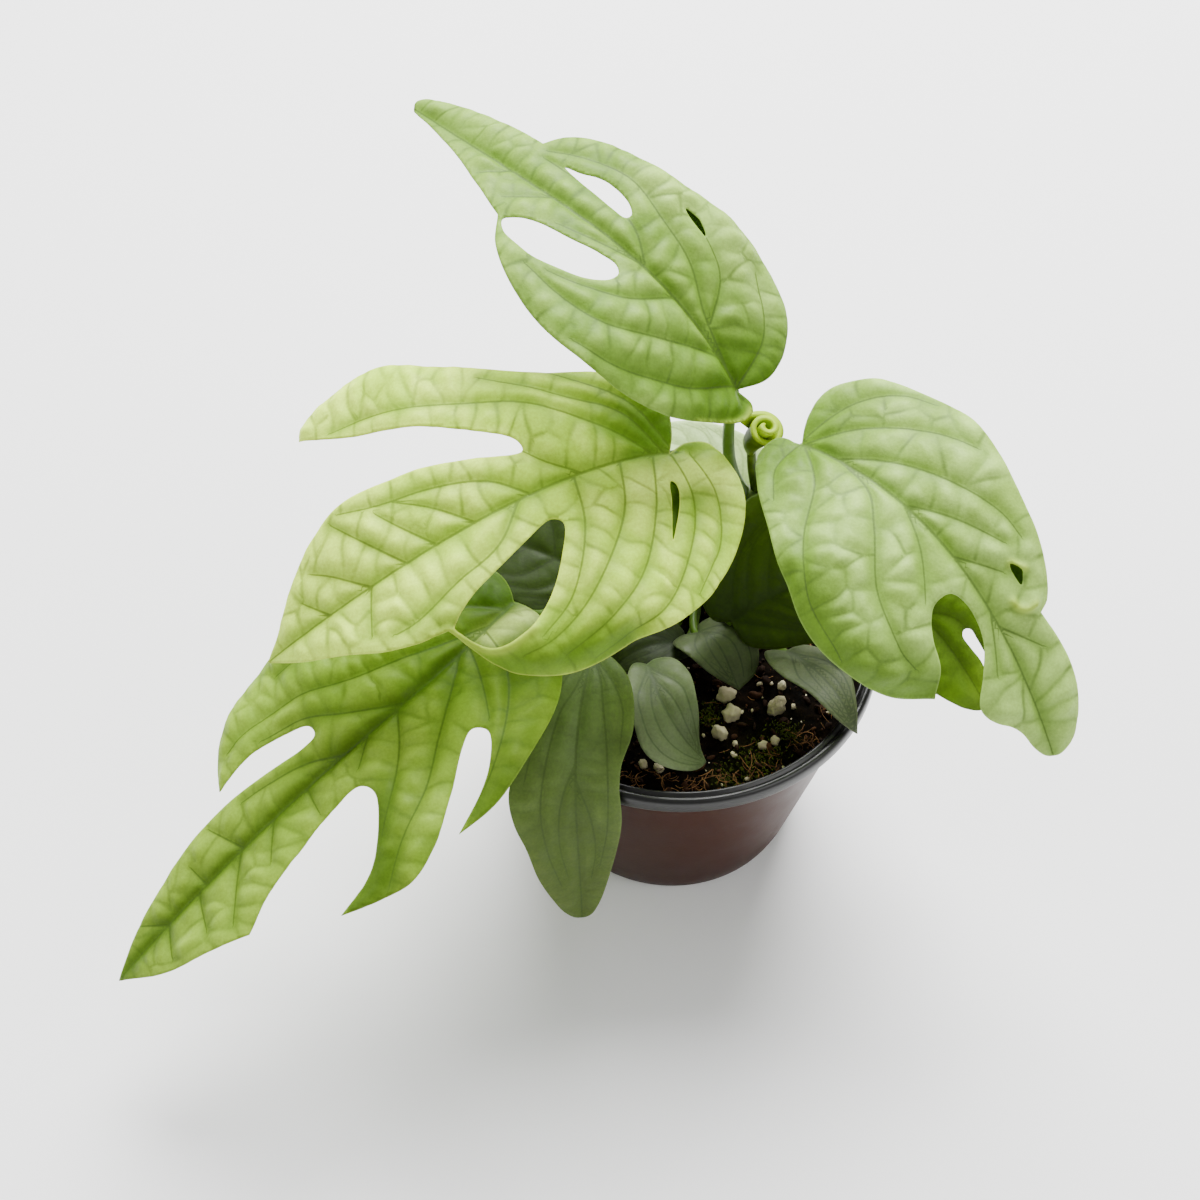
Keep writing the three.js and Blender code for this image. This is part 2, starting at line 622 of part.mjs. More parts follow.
function soilMesh(stemCurve) {
  const top = outerWallAt(SOIL_LEVEL) - WALL - GAP;
  const bottom = outerWallAt(FLOOR + GAP) - WALL - GAP;
  const rings = [...SOIL_RINGS, top];
  const position = [0, 0, soilTopAt(0, 0)];
  const index = [];
  const ringAt = (radius, heightAt) => {
    for (let i = 0; i < SOIL_SIDES; i += 1) {
      const angle = (2 * Math.PI * i) / SOIL_SIDES;
      const x = radius * Math.cos(angle);
      const y = radius * Math.sin(angle);
      position.push(x, y, heightAt(x, y));
    }
  };
  rings.forEach((radius) => ringAt(radius, soilTopAt));
  ringAt(bottom, () => FLOOR + GAP);
  const at = (ring, i) => 1 + ring * SOIL_SIDES + (i % SOIL_SIDES);
  const foot = position.push(0, 0, FLOOR + GAP) / 3 - 1;
  for (let i = 0; i < SOIL_SIDES; i += 1) {
    index.push(0, at(0, i), at(0, i + 1));
    for (let ring = 0; ring < rings.length; ring += 1) {
      index.push(at(ring, i), at(ring + 1, i), at(ring + 1, i + 1));
      index.push(at(ring, i), at(ring + 1, i + 1), at(ring, i + 1));
    }
    index.push(foot, at(rings.length, i + 1), at(rings.length, i));
  }
  const geometry = new THREE.BufferGeometry();
  geometry.setAttribute('position', new THREE.Float32BufferAttribute(position, 3));
  geometry.setIndex(index);
  let solid = toSolid(geometry);
  PERLITE.forEach(([x, y, radius]) => {
    const grain = new THREE.IcosahedronGeometry(radius, 0);
    grain.rotateX(x);
    grain.translate(x, y, soilTopAt(x, y) + radius * 0.25);
    solid = solid.add(toSolid(grain));
  });
  const start = stemCurve.getPointAt(0);
  const above = stemCurve.getPointAt(0.35);
  const heading = above.clone().sub(start).normalize();
  const holeLine = new THREE.LineCurve3(start.clone().addScaledVector(heading, -1), above);
  return toMesh('soil', solid.subtract(taperedTube(holeLine, 1, 12, () => STEM_HOLE)), COLOURS.soil, 1);
}

function potMesh() {
  const lipFoot = POT_HEIGHT - LIP_HEIGHT;
  const wallTop = outerWallAt(lipFoot);
  const profile = [
    [0, 0],
    [BASE_RADIUS - FOOT_BEVEL, 0],
    [BASE_RADIUS, FOOT_BEVEL],
    [wallTop, lipFoot],
    ...LIP_SECTION.map(([inward, down]) => [RIM_RADIUS - inward, POT_HEIGHT - down]),
    [wallTop - WALL, lipFoot - 1],
    [outerWallAt(FLOOR) - WALL, FLOOR],
    [0, FLOOR],
  ].map(([r, z]) => new THREE.Vector2(r, z));
  const lathe = new THREE.LatheGeometry(profile, POT_SIDES);
  lathe.rotateX(Math.PI / 2);
  let solid = toSolid(lathe);
  for (let i = 0; i < DRAIN_HOLES; i += 1) {
    const angle = (2 * Math.PI * (i + 0.5)) / DRAIN_HOLES;
    const hole = new THREE.CylinderGeometry(DRAIN_RADIUS, DRAIN_RADIUS, FLOOR * 4, DRAIN_SIDES);
    hole.rotateX(Math.PI / 2);
    hole.translate(DRAIN_RING * Math.cos(angle), DRAIN_RING * Math.sin(angle), 0);
    solid = solid.subtract(toSolid(hole));
  }
  return toMesh('pot', solid, COLOURS.pot, 0.3);
}

const stemCurve = new THREE.CatmullRomCurve3(STEM_LINE.map(vector), false, 'centripetal');
const plant = new THREE.Group();
const stemSpace = stemSolid(stemCurve, GAP);
plant.add(potMesh(), soilMesh(stemCurve));
plant.add(toMesh('vine_stem', stemSolid(stemCurve, 0), COLOURS.stem, 0.6));
LEAVES.forEach((leaf) => plant.add(leafMesh(leaf, stemCurve, stemSpace)));
plant.add(scrollMesh());

export default plant;
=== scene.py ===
import math
from functools import cache
import bmesh
import bpy
import numpy as np
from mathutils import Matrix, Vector, noise
from mathutils.geometry import delaunay_2d_cdt


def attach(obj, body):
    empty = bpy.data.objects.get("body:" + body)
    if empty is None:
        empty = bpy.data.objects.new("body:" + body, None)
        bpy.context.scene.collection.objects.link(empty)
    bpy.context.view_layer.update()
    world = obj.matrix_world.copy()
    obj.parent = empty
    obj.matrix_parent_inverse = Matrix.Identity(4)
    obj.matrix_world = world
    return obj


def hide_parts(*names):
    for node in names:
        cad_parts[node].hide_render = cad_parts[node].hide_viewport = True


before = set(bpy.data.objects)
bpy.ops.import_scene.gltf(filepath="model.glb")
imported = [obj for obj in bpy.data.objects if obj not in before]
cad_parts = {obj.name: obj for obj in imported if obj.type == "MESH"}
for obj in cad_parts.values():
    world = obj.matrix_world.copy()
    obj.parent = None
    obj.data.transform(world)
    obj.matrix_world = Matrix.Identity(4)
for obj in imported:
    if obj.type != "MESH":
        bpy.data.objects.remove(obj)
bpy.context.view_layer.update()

# Potted silver amydrium. Sizes below are in millimetres, and MM turns them into metres.
MM = 0.001

# Pot
POT_HEIGHT = 68
RIM_RADIUS = 51
BASE_RADIUS = 34
WALL = 1.2
FLOOR = 1.6
LIP_HEIGHT = 4.4
LIP_WIDTH = 2.6
POT_SIDES = 144
DRAIN_HOLES = 6
DRAIN_RADIUS = 4
DRAIN_RING = 24
DRAIN_SIDES = 32
CREASE_DEGREES = 40
# The lip's section, from its outer foot over the groove on its top, as [inward from the rim's
# radius, down from the pot's top]
LIP_SECTION = [
    [0.7, LIP_HEIGHT], [0.2, 4.1], [0, 3.6], [0, 1.4], [0.15, 0.8], [0.5, 0.3], [0.9, 0.06],
    [1.3, 0], [1.7, 0.14], [2.0, 0.5], [2.25, 0.66], [2.5, 0.5], [2.8, 0.16], [3.1, 0.08],
    [3.4, 0.2], [3.7, 0.6], [3.82, 1.2],
]

# Soil
SOIL_LEVEL = 56
SOIL_LUMP = 1.1
SOIL_STEP = 0.9
SOIL_SIDES = 220
SOIL_SEED = 21
SOIL_GRAINS = 130
SOIL_CHIPS = 900
SOIL_FIBRES = 260
FRONT_FIBRES = 160
TUFTS_PER_MM = 26
LOOSE_REACH = 44
STEM_FOOT = (5, 21)
STEM_ROOM_SQUARED = 30

# Stem
STEM_LINE = [[4, 20, 36], [5, 21, 56], [9, 22, 70], [14, 22.5, 84], [19, 22, 98]]
STEM_RADIUS = 3.2
STEM_TIP_RADIUS = 2.4
STEM_SIDES = 24
NODE_SWELL = 0.07

# Leaves
BLADE = 0.42
MARGIN_BLADE = 0.24
LEAF_STEP = 0.7
NORMAL_STEP = 0.4
CURVE_SAMPLES = 24
RIB_SAMPLES = 401
EDGE_ROOM = 0.55
BEND_SPAN = 40
RIPPLE_REACH = 20
RIPPLE_LENGTH = 4
PETIOLE_RADIUS = 1.7
PETIOLE_STEP = 1.1
RIB_RADIUS = 1.25
RIB_END_RADIUS = 0.4
RIB_REACH = 0.82
LEAST_THICKNESS = 0.55
THICKENING_LENGTH = 160
LONG_LEAF = 60
CELL = 4.6
SMALL_CELL = 0.7
CELL_STRETCH = 0.5
CELL_NEIGHBOURS = 7
NET_WANDER = 1.5
NET_REACH = 6
PUFF = 1.0
PUFF_REACH = 4.2
PILLOW = 0.9
PILLOW_REACH = 1.9
LIP_RISE = 1.1
LIP_REACH = 0.9
VALLEY_REACH = 4
POCKET_DEPTH = 2.4
POCKET_SHEET = 0.25
POCKET_SIDES = 32
POCKET_RINGS = 9
# How strong the groove over the midrib and over a side vein is, where it starts and where it ends
RIB_STRENGTH = (1.0, 0.35)
VEIN_STRENGTH = (0.75, 0.25)
# Where each side vein of a small leaf starts along it, and how far out it runs
ARCS = [[0, 0.72], [0.1, 0.38]]

# Young leaf
SCROLL_LINE = [[19.3, 22, 97.5], [18, 23.1, 104], [17.3, 23.4, 110.5]]
SCROLL_FOOT = [17.2, 23.5, 109]
SCROLL_HEAD = [20.1, 20.3, 121.2]
SCROLL_TURNS = 1.9
SCROLL_INNER = 0.7
SCROLL_OUTER = 4.5
SCROLL_FOOT_SCALE = 0.2
SCROLL_FLAP = 6
SCROLL_SHEET = 1.3
SCROLL_FLARE = 0.12
SCROLL_CORE_RISE = 1.2
SCROLL_BELLY = -1.5
# Where around the scroll's turns its painted shade lies, and how wide it is
SCROLL_SHADE_AT = 0.66
SCROLL_SHADE_SPAN = 0.13
SCROLL_STEPS = 90
SCROLL_ROWS = 40

# Each leaf is drawn flat. A point [s, t] lies s along the midrib from the blade's base and t to
# the right of it, seen from above with the tip ahead.
# node: how far up the stem the petiole leaves it, from 0 to 1
# rib: the midrib in space, at a third of its length each; via: two points that bend the petiole
# roll: degrees that the blade leans sideways at its base, middle and tip
# fold, bend: degrees to the left and right of the midrib; wave: the ripple's height
# outline: runs between the blade's corners, each from where the last one ended
# windows: the holes; veins: the side veins; sweep, arcs: how they run where they aren't drawn
# cells: size and stretch of the quilting between them; relief: the strength of the quilting
# lips: edges that curl up; droops: [line, reach, depth] where the blade hangs down
# shades, lights: [line, reach, strength] of painted shade and painted light: darker colour where
# the blade lies in shadow or curls away from the light, lighter colour where light falls on it
# pockets: [s, t, reach along, reach across] of the tissue behind a narrow slit, all in painted
# shade
PLAIN = {
    "roll": [0, 0, 0], "fold": [8, 8], "bend": [20, 20], "wave": 0.3,
    "windows": [], "veins": [], "lips": [], "droops": [], "painted_shades": [], "lights": [], "pockets": [],
}
LEAVES = [
    {"name": "leaf_top", "slot": "leaf_pale", "look": "pale", "node": 0.95, "wave": 0.5,
     "roll": [4, 8, 10], "fold": [16, 10], "bend": [34, 36],
     "rib": [[12, 13, 141], [-7, 26, 163], [-31, 45, 171], [-65, 88, 163]],
     "via": [[10, 22, 106], [10.5, 15, 128]],
     "outline":
         [[[-2, 8], [1, 16], [7, 23], [17, 27], [34, 26], [52, 22], [66, 20], [74, 15], [77, 10]],
          [[85, 10], [96, 9], [110, 6.3], [116, 4.8], [119.5, 3.6], [121, 1.8], [119.5, 0],
           [116, -0.9], [107, -2], [92, -5], [76, -10], [67, -13]],
          [[61, -20], [52, -26], [39, -30], [24, -29], [9, -23], [0, -14], [-6, -4], [-5, 1],
           [0, 0]]],
     "windows":
         [[[65.3, -13.2], [62.6, -10.6], [57.3, -8.4], [50.6, -7.1], [44.5, -5.6], [40.2, -5.4],
           [38.4, -7.1], [38.9, -10.1], [42.4, -13.5], [47.9, -15.8], [53.6, -17.4], [59.2, -17],
           [63, -15.6]],
          [[67, 8], [62.6, 8.9], [57.9, 10.6], [52.1, 10.6], [47.7, 9.4], [45.7, 7.6], [46.5, 6.2],
           [50, 6], [56, 6.5], [62, 7.1]], [[38, 19], [34, 19.5], [30, 17], [34, 17.5]]],
     "veins":
         [[[1, 0], [9, -13], [16, -19], [27, -26], [36, -28]],
          [[9, 0], [16, -6], [23, -12], [34, -20], [43, -21], [53, -20]],
          [[26, 0], [34, -11], [43, -16], [49, -18]], [[37, 0], [49, -4], [56, -6]],
          [[63, 0], [70, -8]], [[77, 0], [81, -6]], [[1, 1], [6, 13], [16, 22]],
          [[5, 0], [18, 3], [29, 9], [39, 12], [52, 15], [65, 13], [74, 9]],
          [[35, 0], [44, 6], [58, 7], [73, 7]], [[16, 3], [22, 13], [30, 17]]],
     "lips": [[[1, -16], [-3, -11], [-6, -4], [-5.5, 0]]],
     "lights": [[[[12, 19], [30, 22], [48, 19]], 6, 0.45]],
     "pockets": [[34, 18, 5.5, 3.3]]},
    {"name": "leaf_left", "slot": "leaf_bright", "look": "bright", "node": 0.82, "wave": 0.6,
     "roll": [15, 15, 15], "fold": [10, 10], "bend": [35, 25],
     "rib": [[-3, 8, 126], [-29, -6, 131], [-60, -21, 123], [-96, -31, 97]],
     "outline":
         [[[-2, 5], [-3, 11], [2, 18], [10, 24], [25, 29], [41, 41], [55, 50], [70, 50], [79, 47],
           [81, 44]],
          [[68, 36], [53, 28], [40, 19], [34, 13], [34, 10], [46, 14], [61, 19], [76, 21],
           [88, 18], [98, 11], [106, 4], [112, 0]],
          [[102, -6], [91, -11], [82, -16], [75.2, -18.3], [71.6, -18.9], [67.6, -19.5]],
          [[66.8, -21.7], [66.3, -24.1], [65.3, -27.6], [63.3, -31.8], [60, -36], [47, -42],
           [29, -42], [4, -37], [-9, -25], [-15, -9], [-12, 1], [-5, 2], [0, 0]]],
     "windows":
         [[[36, -8], [43, -10], [53, -13.4], [58.5, -15.2], [62, -16.8], [64.6, -18.3],
           [66.2, -19.6], [65.6, -21.6], [64.8, -23.9], [63.2, -26.4], [61, -28.1], [58, -29],
           [55, -28.9], [51, -27.9], [44, -23.5], [38, -17], [34, -10]],
          [[4.3, -8.3], [3.4, -9.2], [3.4, -11.1], [4.3, -13.3], [6, -16.1], [8.1, -19],
           [11.2, -23], [10.1, -20.3], [9, -18], [7.8, -15.5], [6.5, -12.8], [5.4, -9.8]]],
     "veins":
         [[[5, 0], [15, 10], [27, 20], [35, 25], [49, 32], [63, 38], [72, 40]],
          [[2, 0], [9, 12], [20, 20], [30, 28], [34, 32]], [[0, 2], [6, 14], [16, 24], [21, 28]],
          [[24, 0], [31, 6], [34, 10]], [[37, 0], [44, 7], [56, 12], [70, 16], [78, 19]],
          [[51, 0], [58, 8], [66, 15]], [[61, 0], [67, 9], [70, 14]], [[69, 0], [75, 9], [81, 18]],
          [[79, 0], [87, 8], [91, 11]], [[91, 0], [96, 6]],
          [[14, 0], [19, -12], [27, -21], [38, -29], [50, -33], [56, -33]],
          [[26, 0], [30, -13], [40, -26], [50, -31]],
          [[5, 0], [12, -15], [21, -27], [33, -34], [47, -37]],
          [[0, -1], [0, -14], [7, -26], [18, -36], [33, -40], [41, -41]],
          [[-5, -1], [-7, -12], [-3, -26], [8, -36]],
          [[40, 0], [49, -8], [61, -11], [73, -14], [78, -14]], [[79, 0], [83, -11]]],
     "lips":
         [[[71, -18.7], [67, -19.6], [66.2, -21.6], [65.5, -24], [64, -26.8], [61.4, -28.9],
           [58, -29.7], [51, -28.6]]],
     "droops": [[[[66.5, -27], [61, -36.5], [47, -43], [29, -43]], 5, 5]],
     "painted_shades":
         [[[[67.5, -22], [63, -31], [57, -35], [47, -38], [33, -40]], 7.5, 0.95],
          [[[-12, 14], [-4, 10], [3, 8], [10, 11]], 7, 0.5]],
     "lights": [[[[-10, -9], [-4, -6.5], [4, -7.5], [13, -9]], 4.8, 0.8]],
     "pockets": [[7, -15.5, 6, 9]]},
    {"name": "leaf_front_left", "slot": "leaf_green", "look": "green", "node": 0.68, "wave": 0.7,
     "fold": [10, 10], "bend": [25, 25],
     "rib": [[-40, -8, 91], [-66, -38, 89], [-96, -58, 71], [-134, -82, 39]],
     "via": [[-5, 15, 92], [-32, -9, 73]],
     "outline":
         [[[-4, 6], [-4, 16], [4, 26], [20, 32], [45, 35], [62, 36], [76, 31], [84, 24], [88, 16]],
          [[76, 17], [66, 15], [60, 12], [60, 9], [74, 10], [90, 12], [106, 10], [122, 6],
           [136, 0]], [[124, -9], [112, -14], [99, -19]],
          [[92, -16], [80, -13], [66, -10], [58, -10], [56, -14], [59, -21], [66, -28], [77, -32]],
          [[68, -35], [60, -37], [53, -34], [45, -27], [37, -20], [33, -18], [31, -21], [36, -28],
           [48, -35]], [[38, -35], [26, -31], [14, -25], [5, -15], [1, -7], [0, 0]]],
     "veins":
         [[[10, 0], [23, 5], [32, 9], [47, 15], [60, 21], [75, 23], [81, 22]],
          [[39, 0], [51, 8], [61, 15], [72, 18]], [[3, 0], [12, 10], [26, 20], [44, 27], [60, 30]],
          [[57, 0], [66, 5], [78, 8], [84, 9]], [[90, 0], [95, 10]], [[103, 0], [104, 6]],
          [[117, 0], [124, 6]], [[21, 0], [29, -6], [39, -14], [48, -22], [57, -28], [65, -34]],
          [[18, 0], [23, -9], [29, -19]], [[12, 0], [17, -11], [27, -22], [36, -29], [42, -32]],
          [[41, 0], [47, -10], [55, -19], [60, -24]], [[50, 0], [56, -6]], [[69, 0], [69, -8]],
          [[80, 0], [85, -9]], [[91, 0], [101, -14]], [[106, 0], [108, -10]],
          [[117, 0], [120, -8]]],
     "painted_shades":
         [[[[15, -17], [23, -24], [28, -32]], 9, 0.4],
          [[[33, -34], [41, -36], [51, -38]], 6.5, 0.8],
          [[[58, -18], [62, -25], [66, -31], [74, -33]], 7, 0.9]],
     "lights": [[[[4, -6], [8, -4.6], [13, -3]], 3.6, 0.95]]},
    {"name": "leaf_right", "slot": "leaf_pale", "look": "mist", "node": 0.78, "wave": 0.6,
     "roll": [-15, -15, -15], "fold": [10, 10], "bend": [25, 25], "cells": [6.2, 0.75],
     "rib": [[27, 10, 127], [46, -9, 130], [65, -29, 119], [84, -50, 87]],
     "via": [[33, 30, 94], [28, 19, 112]],
     "outline":
         [[[-3, -8], [-3, -15], [3, -21], [12, -24], [27, -26], [40, -23], [55, -18], [66, -13],
           [68, -10]],
          [[76, -11], [84, -11], [91, -9.7], [96, -7.5], [99.5, -4.5], [101, -1], [99.5, 1.8],
           [96, 4], [91, 5.7], [88, 7.6], [85, 10.7], [82, 12.6], [79, 13], [73, 9], [66, 5],
           [58, 4], [53, 6], [53, 11], [58, 15], [66, 17], [72, 21]],
          [[66, 30], [57, 35], [41, 37], [23, 32], [9, 23], [-1, 15], [-7, 7], [-6, 1], [0, 0]]],
     "windows": [[[55.2, -9.1], [58, -10.7], [60.6, -9], [58, -8.7]]],
     "veins":
         [[[0, -1], [5, -13], [14, -22], [20, -24]], [[1, 0], [11, -9], [23, -17], [33, -21]],
          [[11, 0], [22, -6], [34, -11], [46, -15], [52, -15]], [[31, 0], [41, -6], [51, -11]],
          [[47, 0], [56, -7]], [[0, 0], [0, 9], [6, 17]],
          [[1, 0], [11, 8], [19, 21], [31, 31], [50, 35]],
          [[12, 0], [23, 3], [30, 9], [42, 19], [57, 23], [63, 22]], [[31, 0], [41, 5], [51, 12]],
          [[66, 0], [75, -7]], [[62, 0], [75, 6]]],
     "lips":
         [[[55.4, -9.6], [57.8, -11.3]], [[62.4, -5.2], [64.6, -5.8], [65.6, -7.6], [65.4, -9.3]]],
     "droops": [[[[70, 23], [66, 31], [57, 36], [41, 38], [23, 33]], 4.5, 3.5]],
     "painted_shades": [[[[72, 20], [66, 28], [57, 32.5], [42, 34.5], [24, 31]], 10, 0.95]],
     "pockets": [[58, -9.6, 3.4, 2]]},
    {"name": "leaf_under_right", "slot": "leaf_dark", "look": "shaded_lit_tip", "node": 0.63, "wave": 0.4,
     "roll": [-50, -40, -20], "relief": 0.75, "sweep": 22,
     "rib": [[13, -3, 76], [30, 1, 86], [51, -3, 88], [75, -22, 68]],
     "via": [[11.5, 13, 77], [10, 3, 75]],
     "outline":
         [[[-3, -3], [-2, -10], [5, -17], [13, -23], [19, -25], [28, -23], [40, -17], [50, -13.5],
           [58, -12.2], [65, -11], [70, -9], [71.6, -6.4]],
          [[69, -6.3], [64.8, -6.6], [62.1, -6.7], [61.3, -5.4], [62.2, -4.2], [66, -4.1],
           [70, -4.4], [75, -3.5], [79, -1.8], [80.5, 1.2], [78, 4.8], [74, 7.5], [69, 10],
           [63, 14], [54, 16], [38, 18], [18, 15], [6, 12], [0, 7], [0, 0]]],
     "lights": [[[[72.5, -3], [76, -0.8]], 3.2, 0.5]]},
    {"name": "leaf_over_rim_front", "slot": "leaf_dark", "look": "dark", "node": 0.58, "wave": 0.4,
     "bend": [10, 10], "relief": 0.5,
     "rib": [[-21, -18, 85], [-25, -42, 79], [-25, -53, 59], [-24, -58, 27]],
     "outline":
         [[[-1, 4], [5, 7], [17, 8.5], [28, 13], [37, 15.8], [44, 15], [51, 12.7], [62, 10.4],
           [72, 7], [78, 4.4], [81.3, 1.8], [82, -0.2], [80.5, -2.4], [75.5, -4.6], [68, -6.8],
           [56, -9.4], [46, -10.8], [36, -10.4]],
          [[30, -10.8], [21.4, -13], [14, -12.4], [8, -10.2], [4, -7], [1, -3], [0, 0]]],
     "veins":
         [[[2, 0], [12, 2], [18, 4.5], [25, 6], [33, 7.5], [42, 8.5], [54, 7.5], [66, 5]],
          [[1, 0], [6, 3], [14, 6], [24, 9.5], [34, 12]],
          [[2, 0], [9, -3.5], [17, -5.5], [24, -7], [34, -7.7], [49, -7.2], [62, -5]],
          [[1, 0], [5, -3], [9, -6.3], [16, -10], [26, -10.4]],
          [[30, 0], [40, 3.5], [52, 4.5], [64, 3]], [[34, 0], [44, -3.2], [56, -4.2], [66, -2.8]]],
     "lights": [[[[6, 0], [16, 0], [26, 0]], 8, 0.3]]},
    {"name": "leaf_small_front", "slot": "leaf_silver", "look": "silver", "node": 0.38,
     "bend": [10, 10], "relief": 0.5, "arcs": True, "cells": [6, 0.6],
     "rib": [[-8, -14, 74], [-5, -26, 76], [0, -34, 72], [7, -36, 63]],
     "via": [[-1, 8, 61.5], [-9, -20, 60]],
     "outline":
         [[[0, 3], [8, 7], [16, 9], [22, 11], [28, 7], [34, 0]],
          [[26, -5], [17, -8], [8, -9], [0, -6], [-1, -2], [0, 0]]],
     "painted_shades": [[[[25, -3], [28, 3], [33, 0]], 6, 0.6]]},
    {"name": "leaf_over_rim_right", "slot": "leaf_silver", "look": "grey", "node": 0.4,
     "bend": [10, 10], "relief": 0.5, "arcs": True, "cells": [6, 0.6],
     "rib": [[27, -6, 69], [36, -20, 74], [41, -29, 72], [45, -32, 64]],
     "via": [[14, 8, 64], [24, 1, 62]],
     "outline":
         [[[-3, 4], [2, 7], [10, 8], [18, 6], [26, 4], [33, 0]],
          [[26, -3], [18, -6], [10, -6], [3, -4], [0, 0]]]},
    {"name": "leaf_small_middle", "slot": "leaf_dark", "look": "grey", "node": 0.48,
     "relief": 0.45, "arcs": True, "cells": [6, 0.6],
     "rib": [[5, -1, 70], [9, -6, 73], [12, -10, 70], [15, -14, 64]],
     "outline":
         [[[-3, 3], [-1, 7], [5, 9], [12, 7], [22, 0]],
          [[20, -6], [15, -9], [7, -9], [0, -7], [-3, -3], [0, 0]]],
     "painted_shades": [[[[-3, 0], [10, 0], [22, 0]], 20, 0.65]]},
    {"name": "leaf_small_left", "slot": "leaf_dark", "look": "shade", "node": 0.43,
     "roll": [10, 10, 10], "relief": 0.45, "arcs": True, "cells": [6, 0.6],
     "rib": [[2, -1, 66], [-4, -4, 69], [-11, -6, 68], [-18, -9, 62]],
     "outline":
         [[[-2, 3], [1, 7], [9, 9], [17, 7], [24, 0]],
          [[17, -5], [9, -6], [2, -5], [-1, -2], [0, 0]]]},
    {"name": "leaf_under_left", "slot": "leaf_dark", "look": "hidden", "node": 0.53, "wave": 0.4,
     "roll": [15, 15, 15], "relief": 0.5, "sweep": 16,
     "rib": [[-13, 8, 74], [-28, 13, 80], [-43, 20, 80], [-58, 27, 71]],
     "outline":
         [[[-3, 5], [0, 12], [10, 17], [22, 17], [34, 12], [45, 5], [51, 0]],
          [[45, -5], [34, -11], [22, -16], [10, -16], [0, -11], [-3, -5], [0, 0]]]},
    {"name": "leaf_back", "slot": "leaf_silver", "look": "mint", "node": 0.66, "wave": 0.6,
     "roll": [15, 15, 15], "relief": 0.5, "sweep": 13,
     "rib": [[22, 34, 80], [12, 40, 87], [0, 46, 89], [-14, 50, 86]],
     "outline":
         [[[-3, 4], [1, 9], [10, 11], [21, 9], [32, 5], [42, 0]],
          [[32, -6], [21, -11], [10, -12], [1, -9], [-3, -4], [0, 0]]]},
]

# The colours of each kind of leaf: panel and shade are those of the quilted panels, deep that of
# the valleys, the base and the painted shade, vein, tip and lit those of the veins, the tip and the
# painted light. quilt, middle, net and line are the strengths of the valleys, the darker green
# along the midrib, the net and the veins. The darker green in the valleys, along the midrib and at
# the base is partly the leaf's own and partly painted shade in the hollows.
LOOKS = {
    "pale": {
        "panel": (0.24, 0.4, 0.058), "shade": (0.155, 0.285, 0.03), "deep": (0.07, 0.155, 0.004),
        "vein": (0.045, 0.088, 0.009), "quilt": 0.46, "middle": 0.3, "net": 0.6, "gloss": 0.16,
        "lit": (0.42, 0.62, 0.14),
    },
    "mist": {
        "panel": (0.365, 0.565, 0.12), "shade": (0.245, 0.4, 0.064), "deep": (0.1, 0.2, 0.012),
        "vein": (0.055, 0.1, 0.014), "quilt": 0.46, "middle": 0.2, "net": 0.6, "gloss": 0.16,
    },
    "bright": {
        "panel": (0.67, 0.94, 0.09), "shade": (0.5, 0.77, 0.045),
        "lit": (0.77, 1.0, 0.15), "deep": (0.085, 0.185, 0.002),
        "vein": (0.07, 0.13, 0.006), "quilt": 0.38, "middle": 0.25, "net": 0.55, "gloss": 0.16,
    },
    "green": {
        "panel": (0.26, 0.42, 0.03), "shade": (0.19, 0.33, 0.016), "deep": (0.044, 0.098, 0.001),
        "vein": (0.04, 0.085, 0.003), "quilt": 0.34, "middle": 0.9, "net": 0.42, "gloss": 0.16,
        "lit": (0.6, 0.74, 0.2),
    },
    "dark": {
        "panel": (0.1, 0.16, 0.025), "shade": (0.07, 0.115, 0.015), "deep": (0.045, 0.08, 0.007),
        "vein": (0.034, 0.06, 0.008), "quilt": 0.3, "middle": 0.25, "net": 0.2, "gloss": 0.2,
        "line": 0.5, "tip": (0.08, 0.12, 0.018), "lit": (0.14, 0.2, 0.085),
    },
    # A copy of the leaf colours darkened as painted shade, for the leaf lying under the others
    "hidden": {
        "panel": (0.024, 0.044, 0.002), "shade": (0.019, 0.035, 0.0015),
        "deep": (0.012, 0.025, 0.001), "vein": (0.012, 0.023, 0.001),
        "quilt": 0.3, "middle": 0.3, "net": 0.3, "gloss": 0.12,
    },
    # Darkened as painted shade for the leaf under the others, with a lighter tip as painted light
    "shaded_lit_tip": {
        "panel": (0.04, 0.074, 0.003), "shade": (0.032, 0.06, 0.002), "deep": (0.023, 0.045, 0.001),
        "tip": (0.085, 0.17, 0.001),
        "vein": (0.018, 0.036, 0.001), "quilt": 0.3, "middle": 0.3, "net": 0.1, "gloss": 0.15,
        "line": 0.35, "lit": (0.16, 0.29, 0.003),
    },
    # The next three looks, for the small leaves, are partly their own grey-green and partly
    # darkened as painted shade under the big leaves
    "shade": {
        "panel": (0.034, 0.048, 0.015), "shade": (0.025, 0.037, 0.01), "deep": (0.018, 0.03, 0.006),
        "vein": (0.013, 0.023, 0.004), "quilt": 0.12, "middle": 0.15, "net": 0.0, "gloss": 0.25,
    },
    "silver": {
        "panel": (0.145, 0.185, 0.085), "shade": (0.09, 0.122, 0.045),
        "deep": (0.055, 0.085, 0.024), "vein": (0.04, 0.064, 0.017),
        "quilt": 0.12, "middle": 0.12, "net": 0.0, "gloss": 0.25,
    },
    "grey": {
        "panel": (0.093, 0.115, 0.05), "shade": (0.066, 0.087, 0.034), "deep": (0.045, 0.065, 0.02),
        "vein": (0.026, 0.04, 0.012), "quilt": 0.12, "middle": 0.12, "net": 0.0, "gloss": 0.25,
    },
    "mint": {
        "panel": (0.5, 0.68, 0.3), "shade": (0.42, 0.58, 0.23), "deep": (0.25, 0.37, 0.1),
        "vein": (0.25, 0.36, 0.12), "quilt": 0.15, "middle": 0.1, "net": 0.15, "gloss": 0.2,
    },
}
LIP_COLOUR = (0.36, 0.5, 0.04)

